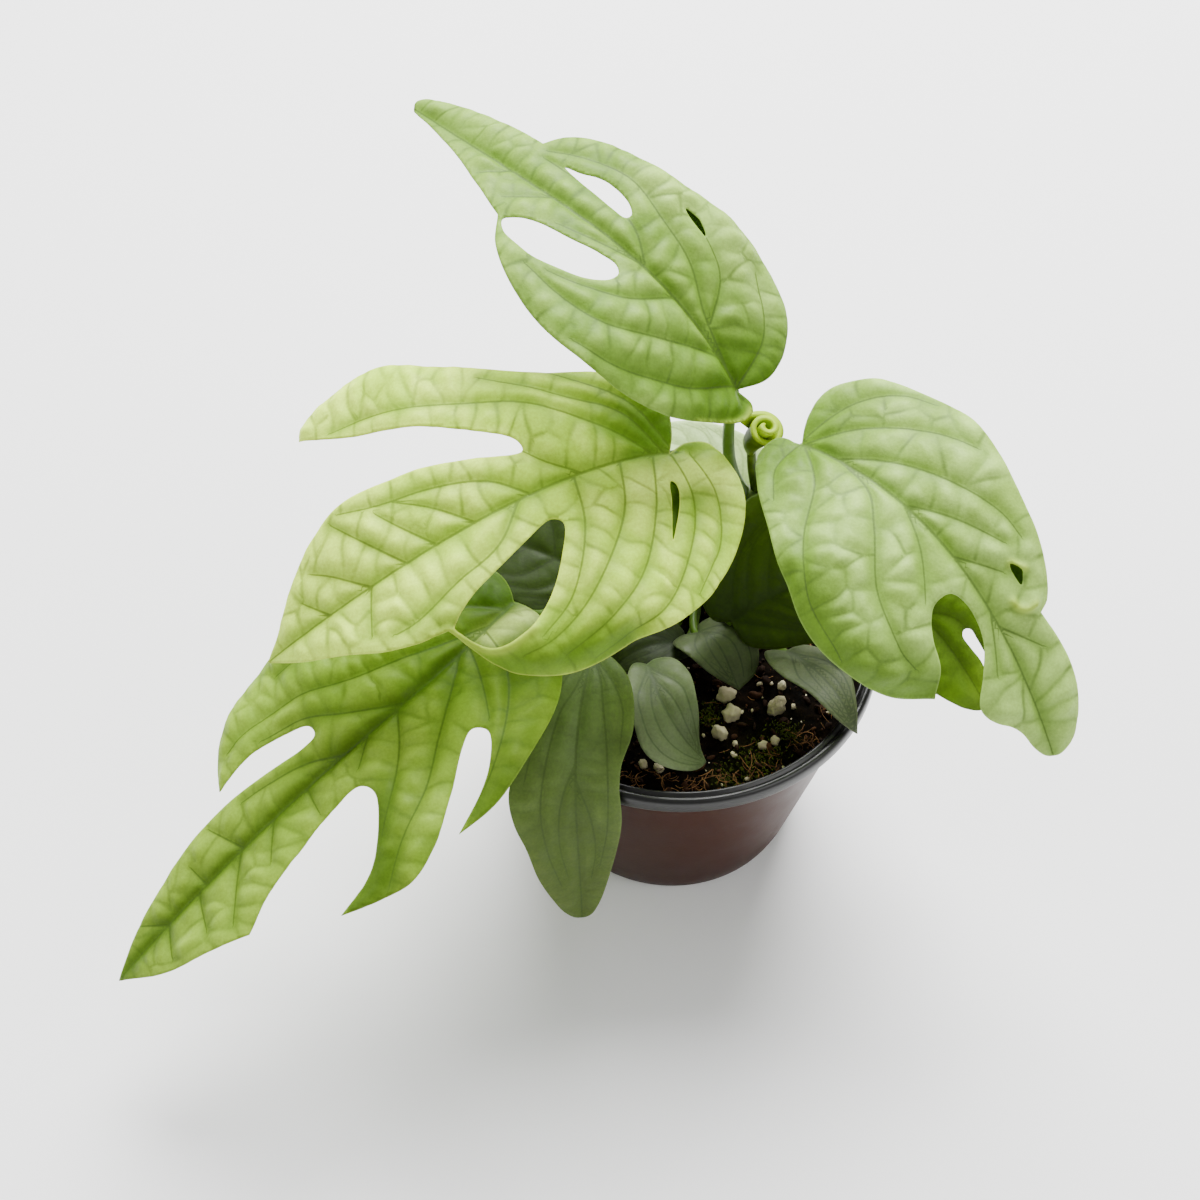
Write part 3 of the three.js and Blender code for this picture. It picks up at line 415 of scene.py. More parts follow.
# Perlite grains as [x, y, radius], and patches of moss likewise
PERLITE = [
    [12.4, -12.1, 2.7], [25.2, -14.6, 2.9], [13.5, -17.7, 2.4], [10.4, -23.8, 2.3],
    [26.8, -8.9, 1.4], [21.3, -26.5, 1.3], [24.1, -25.6, 1.2], [14.1, -26.8, 0.9],
    [-5, -33.6, 1.4], [-8.9, -32.5, 1.3], [21.3, -7.6, 0.8], [29.5, -14.6, 0.8],
    [13.9, -29.8, 0.7], [16.8, -35.7, 0.6], [25.8, -33.1, 0.6], [-20, 10, 2.2], [-30, 18, 1.9],
    [16, 36, 2.1], [34, 14, 2.3], [-12, 34, 1.8],
]
MOSS = [
    [8.2, -18.5, 3.2], [9.5, -15, 2.4], [22, -28, 5], [18, -33, 6], [27, -22, 4], [12, -36, 4.5],
    [-28, -14, 4], [20, 26, 5], [-16, 26, 4],
]


# Curves and surfaces

def along_line(at, arc, line):
    """The line's points at the lengths at, where arc holds the length up to each of its points."""
    return np.stack([np.interp(at, arc, line[:, k]) for k in range(line.shape[1])], -1)


def lengths(line):
    """The length of a line up to each of its points."""
    return np.concatenate([[0], np.cumsum(np.linalg.norm(np.diff(line, axis=0), axis=1))])


def bezier(p0, p1, p2, p3, u):
    return (p0 * (1 - u) ** 3 + 3 * p1 * u * (1 - u) ** 2 + 3 * p2 * u ** 2 * (1 - u)
            + p3 * u ** 3)


def blend(a, b, f):
    return a + (b - a) * f


def catmull(points, step, closed=False):
    """A centripetal Catmull-Rom run through the points, resampled every step."""
    pts = np.array(points, float)
    count = len(pts)
    dense = []
    for i in range(count if closed else count - 1):
        p1, p2 = pts[i], pts[(i + 1) % count]
        p0 = pts[i - 1] if closed or i > 0 else 2 * pts[0] - pts[1]
        p3 = pts[(i + 2) % count] if closed or i + 2 < count else 2 * pts[-1] - pts[-2]
        d0, d1, d2 = (max(np.sum((b - a) ** 2) ** 0.25, 1e-4)
                      for a, b in ((p0, p1), (p1, p2), (p2, p3)))
        m1 = ((p1 - p0) / d0 - (p2 - p0) / (d0 + d1) + (p2 - p1) / d1) * d1
        m2 = ((p2 - p1) / d1 - (p3 - p1) / (d1 + d2) + (p3 - p2) / d2) * d1
        w = np.linspace(0, 1, CURVE_SAMPLES, endpoint=False)[:, None]
        dense.append(p1 + m1 * w + (3 * (p2 - p1) - 2 * m1 - m2) * w ** 2
                     + (2 * (p1 - p2) + m1 + m2) * w ** 3)
    dense = np.vstack([*dense, pts[:1] if closed else pts[-1:]])
    arc = lengths(dense)
    run = along_line(np.linspace(0, arc[-1], max(2, round(arc[-1] / step)) + 1), arc, dense)
    return run[:-1] if closed else run


def unit(v):
    return v / np.maximum(np.linalg.norm(v, axis=-1, keepdims=True), 1e-12)


class Surface:
    """A leaf's blade: a midrib curve, and the fold, bend, roll and ripple to both sides of it."""

    def __init__(self, leaf):
        self.leaf = leaf
        p0, a, b, p3 = np.array(leaf["rib"], float)
        p1 = (-5 * p0 + 18 * a - 9 * b + 2 * p3) / 6
        p2 = (2 * p0 - 9 * a + 18 * b - 5 * p3) / 6
        u = np.linspace(0, 1, RIB_SAMPLES)[:, None]
        self.line = bezier(p0, p1, p2, p3, u)
        self.ahead = unit((p1 - p0) * (1 - u) ** 2 + 2 * (p2 - p1) * u * (1 - u)
                          + (p3 - p2) * u ** 2)
        self.arc = lengths(self.line)
        self.length = self.arc[-1]

    def frame(self, s):
        """At s along the midrib: its point, and the ways ahead, to the right and up from it."""
        s = np.asarray(s, float)
        at = np.clip(s, 0, self.length)
        f = at / self.length
        ahead = unit(along_line(at, self.arc, self.ahead))
        origin = along_line(at, self.arc, self.line) + ahead * (s - at)[..., None]
        right = unit(np.cross(ahead, [0, 0, 1]))
        up = np.cross(right, ahead)
        a, b, c = self.leaf["roll"]
        roll = np.radians(a * (1 - f) * (1 - 2 * f) + 4 * b * f * (1 - f)
                          + c * f * (2 * f - 1))[..., None]
        side = right * np.cos(roll) + up * np.sin(roll)
        lift = up * np.cos(roll) - right * np.sin(roll)
        return origin, ahead, side, lift

    def point(self, s, t):
        s, t = np.asarray(s, float), np.asarray(t, float)
        origin, _, side, lift = self.frame(s)
        half = (t >= 0).astype(int)
        fold = np.radians(np.array(self.leaf["fold"], float))[half]
        curl = np.radians(np.array(self.leaf["bend"], float))[half] / BEND_SPAN
        reach = np.abs(t)
        across = (np.sin(fold) - np.sin(fold - curl * reach)) / curl
        rise = (np.cos(fold - curl * reach) - np.cos(fold)) / curl
        ripple = self.leaf["wave"] * np.minimum(1, (reach / RIPPLE_REACH) ** 2) * np.sin(
            s / RIPPLE_LENGTH + half)
        return origin + side * (np.sign(t) * across)[..., None] + lift * (rise + ripple)[..., None]

    def normal(self, s, t):
        along = self.point(s + NORMAL_STEP, t) - self.point(s - NORMAL_STEP, t)
        out = self.point(s, t + NORMAL_STEP) - self.point(s, t - NORMAL_STEP)
        return unit(np.cross(out, along))


def inside(points, ring):
    """Which points lie inside a closed ring."""
    x, y = points[:, 0], points[:, 1]
    odd = np.zeros(len(points), bool)
    for (ax, ay), (bx, by) in zip(ring, np.roll(ring, -1, axis=0)):
        if ay != by:
            odd ^= ((ay > y) != (by > y)) & (x < (bx - ax) * (y - ay) / (by - ay) + ax)
    return odd


def to_segments(points, a, b):
    """For each point: the distance to the nearest segment a-b, its index, the fraction along it
    and the side."""
    best = np.full(len(points), 1e9)
    index = np.zeros(len(points), int)
    part = np.zeros(len(points))
    side = np.ones(len(points))
    for i, (p, q) in enumerate(zip(a, b)):
        d = q - p
        v = points - p
        u = np.clip(v @ d / max(d @ d, 1e-9), 0, 1)
        w = v - u[:, None] * d
        dist = np.sqrt((w ** 2).sum(1))
        near = dist < best
        best[near] = dist[near]
        index[near] = i
        part[near] = u[near]
        side[near] = np.sign(d[0] * v[near, 1] - d[1] * v[near, 0]) + 1e-3
    return best, index, part, side


def ring_edges(rings):
    """Both ends of every edge of the closed rings."""
    return np.vstack(rings), np.vstack([np.roll(r, -1, axis=0) for r in rings])


def within(points, rings):
    """Which points lie inside the first ring and outside the others."""
    keep = inside(points, rings[0])
    for ring in rings[1:]:
        keep &= ~inside(points, ring)
    return keep


def fill(rings, step):
    """Points and triangles over a flat outline with windows, on a staggered grid."""
    low, high = rings[0].min(0), rings[0].max(0)
    row_step = step * math.sqrt(0.75)
    grid = []
    for row in range(int((high[0] - low[0]) / row_step) + 1):
        t = np.arange(low[1] + step * (0.5 * (row % 2)), high[1], step)
        grid.append(np.stack([np.full_like(t, low[0] + row * row_step), t], 1))
    grid = np.vstack(grid)
    grid = grid[within(grid, rings)]
    a, b = ring_edges(rings)
    grid = grid[to_segments(grid, a, b)[0] > step * EDGE_ROOM]
    points = np.vstack([a, grid])
    edges = []
    first = 0
    for ring in rings:
        n = len(ring)
        edges += [(first + i, first + (i + 1) % n) for i in range(n)]
        first += n
    made = delaunay_2d_cdt([Vector(p) for p in points], edges, [], 0, 1e-6)
    points = np.array([tuple(v) for v in made[0]])
    faces = np.array([f for f in made[2] if len(f) == 3])
    faces = faces[within(points[faces].mean(1), rings)]
    p = points[faces]
    over = turn(p[:, 0], p[:, 1], p[:, 2]) < 0
    faces[over] = faces[over][:, ::-1]
    used = np.unique(faces)
    remap = np.full(len(points), -1)
    remap[used] = np.arange(len(used))
    return points[used], remap[faces]


def face_edges(faces):
    return np.vstack([faces[:, [0, 1]], faces[:, [1, 2]], faces[:, [2, 0]]])


def rim_edges(faces):
    """The edges that only one triangle has, in that triangle's direction."""
    edges = face_edges(faces)
    seen = {tuple(e) for e in edges}
    return np.array([e for e in edges if (e[1], e[0]) not in seen])


class Build:
    """Gathers vertices, faces and point values, and turns them into one object."""

    def __init__(self):
        self.points = []
        self.faces = []
        self.slots = []
        self.values = {}
        self.count = 0

    def add(self, points, faces, slot=0, **values):
        points = np.asarray(points, float)
        self.points.append(points)
        self.faces += [[i + self.count for i in f] for f in np.asarray(faces, object).tolist()]
        self.slots += [slot] * len(faces)
        for key, value in values.items():
            value = np.broadcast_to(value, len(points))
            self.values.setdefault(key, []).append((self.count, value))
        self.count += len(points)

    def make(self, name, materials):
        mesh = bpy.data.meshes.new(name)
        mesh.from_pydata((np.vstack(self.points) * MM).tolist(), [], self.faces)
        mesh.polygons.foreach_set("material_index", self.slots)
        for key, runs in self.values.items():
            data = np.zeros(self.count, np.float32)
            for first, value in runs:
                data[first:first + len(value)] = value
            mesh.attributes.new(key, "FLOAT", "POINT").data.foreach_set("value", data)
        mesh.shade_smooth()
        mesh.update()
        obj = bpy.data.objects.new(name, mesh)
        bpy.context.collection.objects.link(obj)
        for material in materials:
            mesh.materials.append(material)
        return obj


def bands(rings, sides):
    """The quads between each ring of points and the next."""
    return [[i * sides + k, i * sides + (k + 1) % sides,
             (i + 1) * sides + (k + 1) % sides, (i + 1) * sides + k]
            for i in range(rings - 1) for k in range(sides)]


def tube(build, line, radii, sides=14, slot=0, **values):
    """A closed tube along the points of a line."""
    line = np.asarray(line, float)
    ahead = unit(np.gradient(line, axis=0))
    out = np.cross(ahead[0], [0, 0, 1.0])
    if np.linalg.norm(out) < 1e-3:
        out = np.array([1.0, 0, 0])
    angle = np.linspace(0, 2 * math.pi, sides, endpoint=False)
    rings = []
    for p, a, radius in zip(line, ahead, radii):
        out = unit(out - a * (out @ a))
        up = np.cross(a, out)
        rings.append(p + radius * (np.outer(np.cos(angle), out) + np.outer(np.sin(angle), up)))
    n = len(line)
    faces = bands(n, sides)
    for k in range(sides):
        faces.append([n * sides, (k + 1) % sides, k])
        faces.append([n * sides + 1, (n - 1) * sides + k, (n - 1) * sides + (k + 1) % sides])
    each = {}
    for key, value in values.items():
        value = np.broadcast_to(value, n)
        each[key] = np.concatenate([np.repeat(value, sides), value[[0, -1]]])
    build.add(np.vstack([*rings, line[:1], line[-1:]]), faces, slot, **each)


# Leaf relief

def fan_veins(leaf, length, outline):
    """Side veins for a leaf whose veins aren't drawn one by one."""
    runs = []
    for sign in (-1, 1):
        half = outline[np.sign(outline[:, 1]) == sign]
        order = np.argsort(half[:, 0])
        edge = half[order, 0], np.abs(half[order, 1])
        if "arcs" in leaf:
            for start, share in ARCS:
                at = np.linspace(start * length, 0.9 * length, 9)
                reach = np.interp(at, *edge) * share * smooth(at - at[0], -0.5, 0.4 * length)
                runs.append(np.stack([at, sign * reach], 1))
            continue
        s, step = 0.5, leaf["sweep"] * 0.22
        while s < length * 0.78:
            end = min(s + leaf["sweep"] * (1 - 0.45 * s / length), length * 0.96)
            wide = np.interp(end, *edge) * 0.86
            knee = s + (end - s) * 0.45
            middle = np.interp(knee, *edge) * 0.6
            runs.append([[s, 0], [knee, sign * min(middle, wide * 0.75 + 1)], [end, sign * wide]])
            s += step
            step *= 1.22
    return runs


def turn(a, b, c):
    """More than 0 where a, b and c turn left."""
    u, v = b - a, c - a
    return u[..., 0] * v[..., 1] - u[..., 1] * v[..., 0]


def crossings(p, q, a, b):
    """Whether each segment p-q crosses any of the segments a-b."""
    hit = np.zeros(len(p), bool)
    for u, v in zip(a, b):
        hit |= (turn(u, v, p) * turn(u, v, q) < 0) & (turn(p, q, u) * turn(p, q, v) < 0)
    return hit


def grain_of(points, a, b):
    """The direction of the veins around each point."""
    total = np.zeros((len(points), 2))
    for u, v in zip(a, b):
        d = v - u
        long = math.hypot(*d)
        angle = 2 * math.atan2(d[1], d[0])
        gap = ((points - (u + v) / 2) ** 2).sum(1)
        weight = long / (gap + 4) ** 1.5
        total += weight[:, None] * [math.cos(angle), math.sin(angle)]
    angle = np.arctan2(total[:, 1], total[:, 0]) / 2
    return np.stack([np.cos(angle), np.sin(angle)], 1)


def field(points, scale, layer, *fractal):
    """Smooth noise over flat points, plain or with the settings of a fractal."""
    made = noise.fractal if fractal else noise.noise
    return np.array([made(Vector((x * scale, y * scale, layer)), *fractal) for x, y in points])


def cells(points, a, b, size, stretch, seed):
    """The net of small veins, as cells that are short along the side veins, wide across them and
    don't reach over them. Gives the distance to the cell's border and the side of it."""
    draw = np.random.default_rng(seed)
    grain = grain_of(points, a, b)
    moved = points + NET_WANDER * np.stack([field(points, 0.16, k) for k in (1.5, 7.5)], 1)
    seeds = []
    for i in draw.permutation(len(points)):
        if seeds:
            d = moved[seeds] - moved[i]
            along = d @ grain[i]
            across = d[:, 0] * grain[i, 1] - d[:, 1] * grain[i, 0]
            near = along ** 2 + (stretch * across) ** 2
            if near.min() < (size * (0.75 + 0.5 * draw.random())) ** 2:
                continue
        seeds.append(i)
    seeds = np.array(seeds)
    at, way = moved[seeds], grain[seeds]
    dx = moved[:, None, 0] - at[None, :, 0]
    dy = moved[:, None, 1] - at[None, :, 1]
    along = dx * way[None, :, 0] + dy * way[None, :, 1]
    across = (dx * way[None, :, 1] - dy * way[None, :, 0]) * stretch ** 2
    square = along ** 2 + across ** 2 / stretch ** 2
    near = np.argpartition(
        square, CELL_NEIGHBOURS, axis=1)[:, :CELL_NEIGHBOURS]
    dist = np.take_along_axis(square, near, 1)
    for k in range(CELL_NEIGHBOURS):
        dist[:, k] += (size * 1.6) ** 2 * crossings(points, points[seeds[near[:, k]]], a, b)
    order = np.argsort(dist, axis=1)
    rows = np.arange(len(points))
    first, second = near[rows, order[:, 0]], near[rows, order[:, 1]]
    gain = []
    for which in (first, second):
        u, v = along[rows, which], across[rows, which]
        gain.append(2 * np.stack([u * way[which, 0] + v * way[which, 1],
                                  u * way[which, 1] - v * way[which, 0]], 1))
    slope = np.maximum(np.linalg.norm(gain[1] - gain[0], axis=1), 2)
    border = (dist[rows, order[:, 1]] - dist[rows, order[:, 0]]) / slope
    return np.minimum(border, NET_REACH), np.where(first < second, 1, -1)


def smooth(x, low, high):
    """A smooth step from 0 at low to 1 at high."""
    f = np.clip((x - low) / (high - low), 0, 1)
    return f * f * (3 - 2 * f)


def soften(values, faces, times):
    """The values on a mesh's points, averaged with their neighbours."""
    edges = face_edges(faces)
    edges = np.vstack([edges, edges[:, ::-1]])
    count = np.bincount(edges[:, 0], minlength=len(values))
    for _ in range(times):
        total = np.bincount(edges[:, 0], weights=values[edges[:, 1]], minlength=len(values))
        values = 0.5 * values + 0.5 * total / count
    return values


def nearness(flat, line, reach):
    """1 on a line, less the further a point is from it."""
    line = catmull(line, 1)
    return np.exp(-(to_segments(flat, line[:-1], line[1:])[0] / reach) ** 2)


def strongest(flat, runs):
    """The most that any of the runs [line, reach, strength] gives each point."""
    most = np.zeros(len(flat))
    for line, reach, strength in runs:
        most = np.maximum(most, strength * nearness(flat, line, reach))
    return most


def pocket(build, surface, s, t, reach_s, reach_t):
    """A shallow bowl of leaf tissue under a narrow slit."""
    angle = np.linspace(0, 2 * math.pi, POCKET_SIDES, endpoint=False)
    out = np.linspace(1, 0.08, POCKET_RINGS)
    us = s + reach_s * np.outer(out, np.cos(angle)).ravel()
    ut = t + reach_t * np.outer(out, np.sin(angle)).ravel()
    down = np.repeat(0.7 + POCKET_DEPTH * (1 - out ** 2), POCKET_SIDES)
    sheets = [surface.point(us, ut) - surface.normal(us, ut) * (down + more)[:, None]
              for more in (0, POCKET_SHEET)]
    n = len(us)
    quads = bands(POCKET_RINGS, POCKET_SIDES) + [list(range(n - POCKET_SIDES, n))]
    back = [[v + n for v in q[::-1]] for q in quads]
    band = [[k, k + n, (k + 1) % POCKET_SIDES + n, (k + 1) % POCKET_SIDES]
            for k in range(POCKET_SIDES)]
    # Painted shade: the bowl takes the deep colour all over, for the dark seen through the slit
    build.add(np.vstack(sheets), quads + back + band, 0, rib=5.0, rib_gap=5.0, net=5.0,
              net_gap=5.0, margin=5.0, pillow=1.0, puff=1.0, dim=1.0, tip=0.3)


def leaf_object(leaf, stem):
    leaf = {**PLAIN, **leaf}
    surface = Surface(leaf)
    length = surface.length
    thick = min(1, LEAST_THICKNESS + length / THICKENING_LENGTH)
    scale = leaf.get("relief", thick)
    corner, outer = leaf["outline"][-1][-1], []
    for run in leaf["outline"]:
        outer.append(catmull([corner, *run], LEAF_STEP)[:-1])
        corner = run[-1]
    rings = [np.vstack(outer)] + [catmull(ring, LEAF_STEP, True) for ring in leaf["windows"]]
    flat, faces = fill(rings, LEAF_STEP)
    s, t = flat[:, 0], flat[:, 1]
    margin = to_segments(flat, *ring_edges(rings))[0]

    midrib = np.stack([np.linspace(-2, length, 40), np.zeros(40)], 1)
    drawn = leaf["veins"] or fan_veins(leaf, length, rings[0])
    runs = [(midrib, *RIB_STRENGTH)] + [(catmull(run, 2), *VEIN_STRENGTH) for run in drawn]
    measured = []
    for run, start, end in runs:
        gap, index, part, side = to_segments(flat, run[:-1], run[1:])
        measured.append((gap, blend(start, end, (index + part) / (len(run) - 1)), side))
    gaps, sizes, sides = (np.array(values) for values in zip(*measured))
    nearest = gaps.argmin(0), np.arange(len(flat))
    rib_gap, rib_size, rib_side = gaps[nearest], sizes[nearest], sides[nearest]
    even_gap = (np.maximum(gaps, 0.05) ** -4.0).sum(0) ** -0.25
    groove = (sizes * np.exp(-(gaps / (0.5 + 0.6 * sizes)) ** 2)).max(0)
    a = np.vstack([run[:-1] for run, _, _ in runs])
    b = np.vstack([run[1:] for run, _, _ in runs])
    cell = CELL if length > LONG_LEAF else CELL * SMALL_CELL
    seed = len(leaf["name"])
    net_gap, net_side = cells(flat, a, b, *leaf.get("cells", (cell, CELL_STRETCH)), seed)

    puff = 1 - np.exp(-(even_gap / PUFF_REACH) ** 1.5)
    pillow = (1 - np.exp(-(net_gap / PILLOW_REACH) ** 1.5)) * (1 - np.exp(-(rib_gap / 2) ** 2))
    uneven = field(flat, 0.11, seed + 0.5, 1, 2, 3)
    wrinkle = field(flat, 0.55, 4.5, 0.8, 2, 2)
    relief = scale * smooth(margin, -0.5, 4) * (
        PUFF * puff + PILLOW * pillow * (1 + 0.6 * uneven) + 0.1 * wrinkle)
    relief += scale * (0.5 * uneven * puff - 0.35)
    relief = soften(relief, faces, 2) - 0.5 * scale * groove
    lip = strongest(flat, [(line, LIP_REACH, 1) for line in leaf["lips"]])
    relief += LIP_RISE * lip
    for line, reach, depth in leaf["droops"]:
        relief -= depth * nearness(flat, line, reach)

    normal = surface.normal(s, t)
    middle = surface.point(s, t) + normal * relief[:, None]
    half = blend(MARGIN_BLADE, BLADE, smooth(margin, 0, 1.5))[:, None] / 2
    keel = (0.35 * groove * scale)[:, None]
    values = {
        "rib": rib_gap * rib_side, "rib_gap": rib_gap, "rib_size": rib_size,
        "net": net_gap * net_side, "net_gap": net_gap,
        "base": np.exp(-(np.hypot(s, t * 0.8) / (length * 0.16)) ** 1.5),
        "valley": np.exp(-(np.abs(t) / VALLEY_REACH) ** 1.5),
        "margin": margin, "pillow": pillow, "puff": puff, "lip": lip, "uneven": uneven,
        "dim": strongest(flat, leaf["painted_shades"]), "lit": strongest(flat, leaf["lights"]),
        "tip": np.clip(s / length, 0, 1),
    }
    n = len(flat)
    both = {key: np.concatenate([value, value]) for key, value in values.items()}
    both["under"] = np.repeat([0.0, 1.0], n)
    shell = np.vstack([middle + normal * half, middle - normal * (half + keel)])
    band = [[i, j, j + n, i + n] for i, j in rim_edges(faces)]
    build = Build()
    build.add(shell, faces[:, ::-1].tolist() + (faces + n).tolist() + band, 0, **both)
    for place in leaf["pockets"]:
        pocket(build, surface, *place)

    route, radii = petiole_line(leaf, surface, stem, thick, scale)
    tube(build, route, radii, slot=1, along=np.linspace(0, 1, len(route)))
    obj = build.make(leaf["name"] + "_blade", [leaf_material(leaf["look"]), petiole_material()])
    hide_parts(leaf["name"])
    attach(obj, "root")


def petiole_line(leaf, surface, stem, thick, scale):
    """The petiole's route from the stem to the blade and on under the midrib, and its radii."""
    rib_end = surface.length * RIB_REACH

    def under_rib(f):
        s = f * rib_end
        radius = thick * blend(RIB_RADIUS, RIB_END_RADIUS, f)
        drop = -scale * (0.85 - 0.35 * f) - 0.1 - 0.85 * radius
        return surface.point(s, 0.0) + surface.frame(s)[3] * drop

    base = surface.point(0.0, 0.0)
    start = stem_point(stem, leaf["node"])
    via = [np.array(v, float) for v in leaf.get("via", [])]
    outward = unit(((via or [base])[0] - start) * [1, 1, 0])
    start = start + outward * blend(STEM_RADIUS, STEM_TIP_RADIUS, leaf["node"]) * 0.4
    reach = np.linalg.norm(base - start)
    up = np.array([0, 0, 1.0])
    via = via or [start + outward * reach * 0.22 + up * reach * 0.25,
                  base - surface.frame(0.0)[1] * reach * 0.3 - up * 0.5]
    bow = bezier(start, via[0], via[1], under_rib(0), np.linspace(0, 1, 30)[:, None])
    line = [*bow[:-1]] + [under_rib(f) for f in np.linspace(0, 1, 30)]
    route = catmull(line, PETIOLE_STEP)
    arc = np.linspace(0, 1, len(route))
    whole = PETIOLE_STEP * len(route)
    split = max(0.05, 1 - rib_end / whole)
    along = arc * whole
    before = thick * blend(PETIOLE_RADIUS, RIB_RADIUS, np.clip(arc / split, 0, 1))
    after = thick * blend(RIB_RADIUS, RIB_END_RADIUS, np.clip((arc - split) / (1 - split), 0, 1))
    radii = np.where(arc < split, before, after) * (1 + 0.35 * np.exp(-along / 5))
    knee = np.exp(-((along - split * whole + 3.5) / 3) ** 2)
    return route, radii * (1 + 0.22 * knee)


def stem_point(stem, f):
    at = f * (len(stem) - 1)
    i = min(int(at), len(stem) - 2)
    return stem[i] + (stem[i + 1] - stem[i]) * (at - i)


# Materials

class Graph:
    """A material's nodes, built by short calls."""

    def __init__(self, name):
        self.material = bpy.data.materials.new(name)
        self.material.use_nodes = True
        self.tree = self.material.node_tree
        self.shader = self.tree.nodes["Principled BSDF"]

    def node(self, kind, inputs=(), **settings):
        made = self.tree.nodes.new(kind)
        for key, value in settings.items():
            setattr(made, key, value)
        for key, value in dict(inputs).items():
            self.put(made.inputs[key], value)
        return made

    def put(self, socket, value):
        if isinstance(value, bpy.types.NodeSocket):
            self.tree.links.new(value, socket)
        elif isinstance(value, tuple) and len(value) == 3 and socket.type == "RGBA":
            socket.default_value = (*value, 1)
        else:
            socket.default_value = value

    def attribute(self, name):
        return self.node("ShaderNodeAttribute", attribute_name=name).outputs["Fac"]

    def math(self, operation, a, b=0.0, clamp=False):
        return self.node("ShaderNodeMath", {0: a, 1: b}, operation=operation,
                         use_clamp=clamp).outputs[0]

    def smooth(self, value, low, high, start=0.0, end=1.0):
        return self.node("ShaderNodeMapRange", {0: value, 1: low, 2: high, 3: start, 4: end},
                         interpolation_type="SMOOTHSTEP").outputs[0]

    def mix(self, factor, a, b, blend="MIX"):
        made = self.node("ShaderNodeMix", data_type="RGBA", blend_type=blend)
        self.put(made.inputs[0], factor)
        self.put(made.inputs[6], a)
        self.put(made.inputs[7], b)
        return made.outputs[2]

    def noise(self, scale, detail, rough):
        place = self.node("ShaderNodeTexCoord").outputs["Object"]
        return self.node("ShaderNodeTexNoise", {
            "Vector": place, "Scale": scale, "Detail": detail, "Roughness": rough}).outputs["Fac"]

    def bump(self, height, distance, strength):
        return self.node("ShaderNodeBump", {
            "Height": height, "Distance": distance, "Strength": strength}).outputs["Normal"]

    def finish(self, **sockets):
        for key, value in sockets.items():
            self.put(self.shader.inputs[key.replace("_", " ")], value)
        return self.material


@cache
def leaf_material(look):
    colours = LOOKS[look]
    g = Graph("leaf_" + look)
    rib = g.math("ABSOLUTE", g.attribute("rib"))
    width = g.math("ADD", g.math("MULTIPLY", g.attribute("rib_size"), 0.34), 0.12)
    line = g.smooth(g.math("DIVIDE", rib, width), 0.3, 1.3, 1.0, 0.0)
    line = g.math("MULTIPLY", line, g.smooth(g.attribute("rib_gap"), 0.7, 1.2, 1.0, 0.0))
    net = g.smooth(g.math("ABSOLUTE", g.attribute("net")), 0.0, 0.8, 1.0, 0.0)
    net = g.math("MULTIPLY", net, g.smooth(g.attribute("net_gap"), 0.5, 1.0, 1.0, 0.0))
    patchy = g.smooth(g.noise(150.0, 2.0, 0.5), 0.3, 0.7, 0.1, 1.0)
    cloud = g.noise(95.0, 4.0, 0.6)
    speck = g.noise(1400.0, 3.0, 0.65)
    # The hollows between puffs and pillows, the midrib's valley and the base go toward the deep
    # colour: partly the leaf's own darker green, partly painted shade in the hollows
    hollow = g.math("SUBTRACT", 1.0, g.attribute("puff"))
    dent = g.math("SUBTRACT", 1.0, g.attribute("pillow"))
    valley = g.math("ADD", g.math("MULTIPLY", g.math("POWER", hollow, 1.6), 0.6),
                    g.math("MULTIPLY", g.math("POWER", dent, 2.0), colours["quilt"]))
    valley = g.math("MULTIPLY", valley, g.smooth(cloud, 0.3, 0.7, 0.55, 1.3), True)
    base = g.math("MAXIMUM", g.smooth(g.attribute("base"), 0.08, 0.9),
                  g.math("MULTIPLY", g.attribute("valley"), colours["middle"]))
    colour = g.mix(g.smooth(g.attribute("uneven"), -0.35, 0.35), colours["shade"], colours["panel"])
    colour = g.mix(g.smooth(g.attribute("tip"), 0.45, 0.75), colour,
                   colours.get("tip", colours["panel"]))
    colour = g.mix(base, colour, colours["deep"])
    colour = g.mix(g.math("MULTIPLY", valley, 0.65), colour, colours["deep"])
    # Painted shade: darker colour along the shaded runs of the blade and all over the pockets
    colour = g.mix(g.attribute("dim"), colour, colours["deep"])
    # Painted light: lighter colour along the runs where light falls on the blade
    colour = g.mix(g.attribute("lit"), colour, colours.get("lit", colours["panel"]))
    colour = g.mix(g.math("MULTIPLY", net, g.math("MULTIPLY", patchy, colours["net"])), colour,
                   colours["vein"])
    colour = g.mix(g.math("MULTIPLY", line, colours.get("line", 0.7)), colour, colours["vein"])
    tone = g.math("ADD", g.smooth(cloud, 0.25, 0.75, 0.86, 1.12),
                  g.smooth(speck, 0.3, 0.7, -0.09, 0.09))
    tone = g.node("ShaderNodeCombineColor", {0: tone, 1: tone, 2: tone}).outputs[0]
    colour = g.mix(1.0, colour, tone, "MULTIPLY")
    # A paler band along the margin: partly the thin translucent edge, partly a painted highlight on
    # the rim
    bright = tuple(min(1, c * 1.35 + 0.02) for c in colours["panel"])
    colour = g.mix(g.smooth(g.attribute("margin"), 0.0, 0.45, 0.22, 0.0), colour, bright)
    colour = g.mix(g.math("MULTIPLY", g.attribute("lip"), 0.7), colour, LIP_COLOUR)
    under = tuple(0.7 * p + 0.2 * d for p, d in zip(colours["panel"], colours["deep"]))
    colour = g.mix(g.math("MULTIPLY", g.attribute("under"), 0.7), colour, under)
    rough = g.smooth(g.noise(220.0, 3.0, 0.6), 0.3, 0.7, 0.5, 0.64)
    bump = g.bump(speck, 0.0001, 0.6)
    return g.finish(Base_Color=colour, Roughness=rough, Normal=bump,
                    Specular_IOR_Level=colours["gloss"])


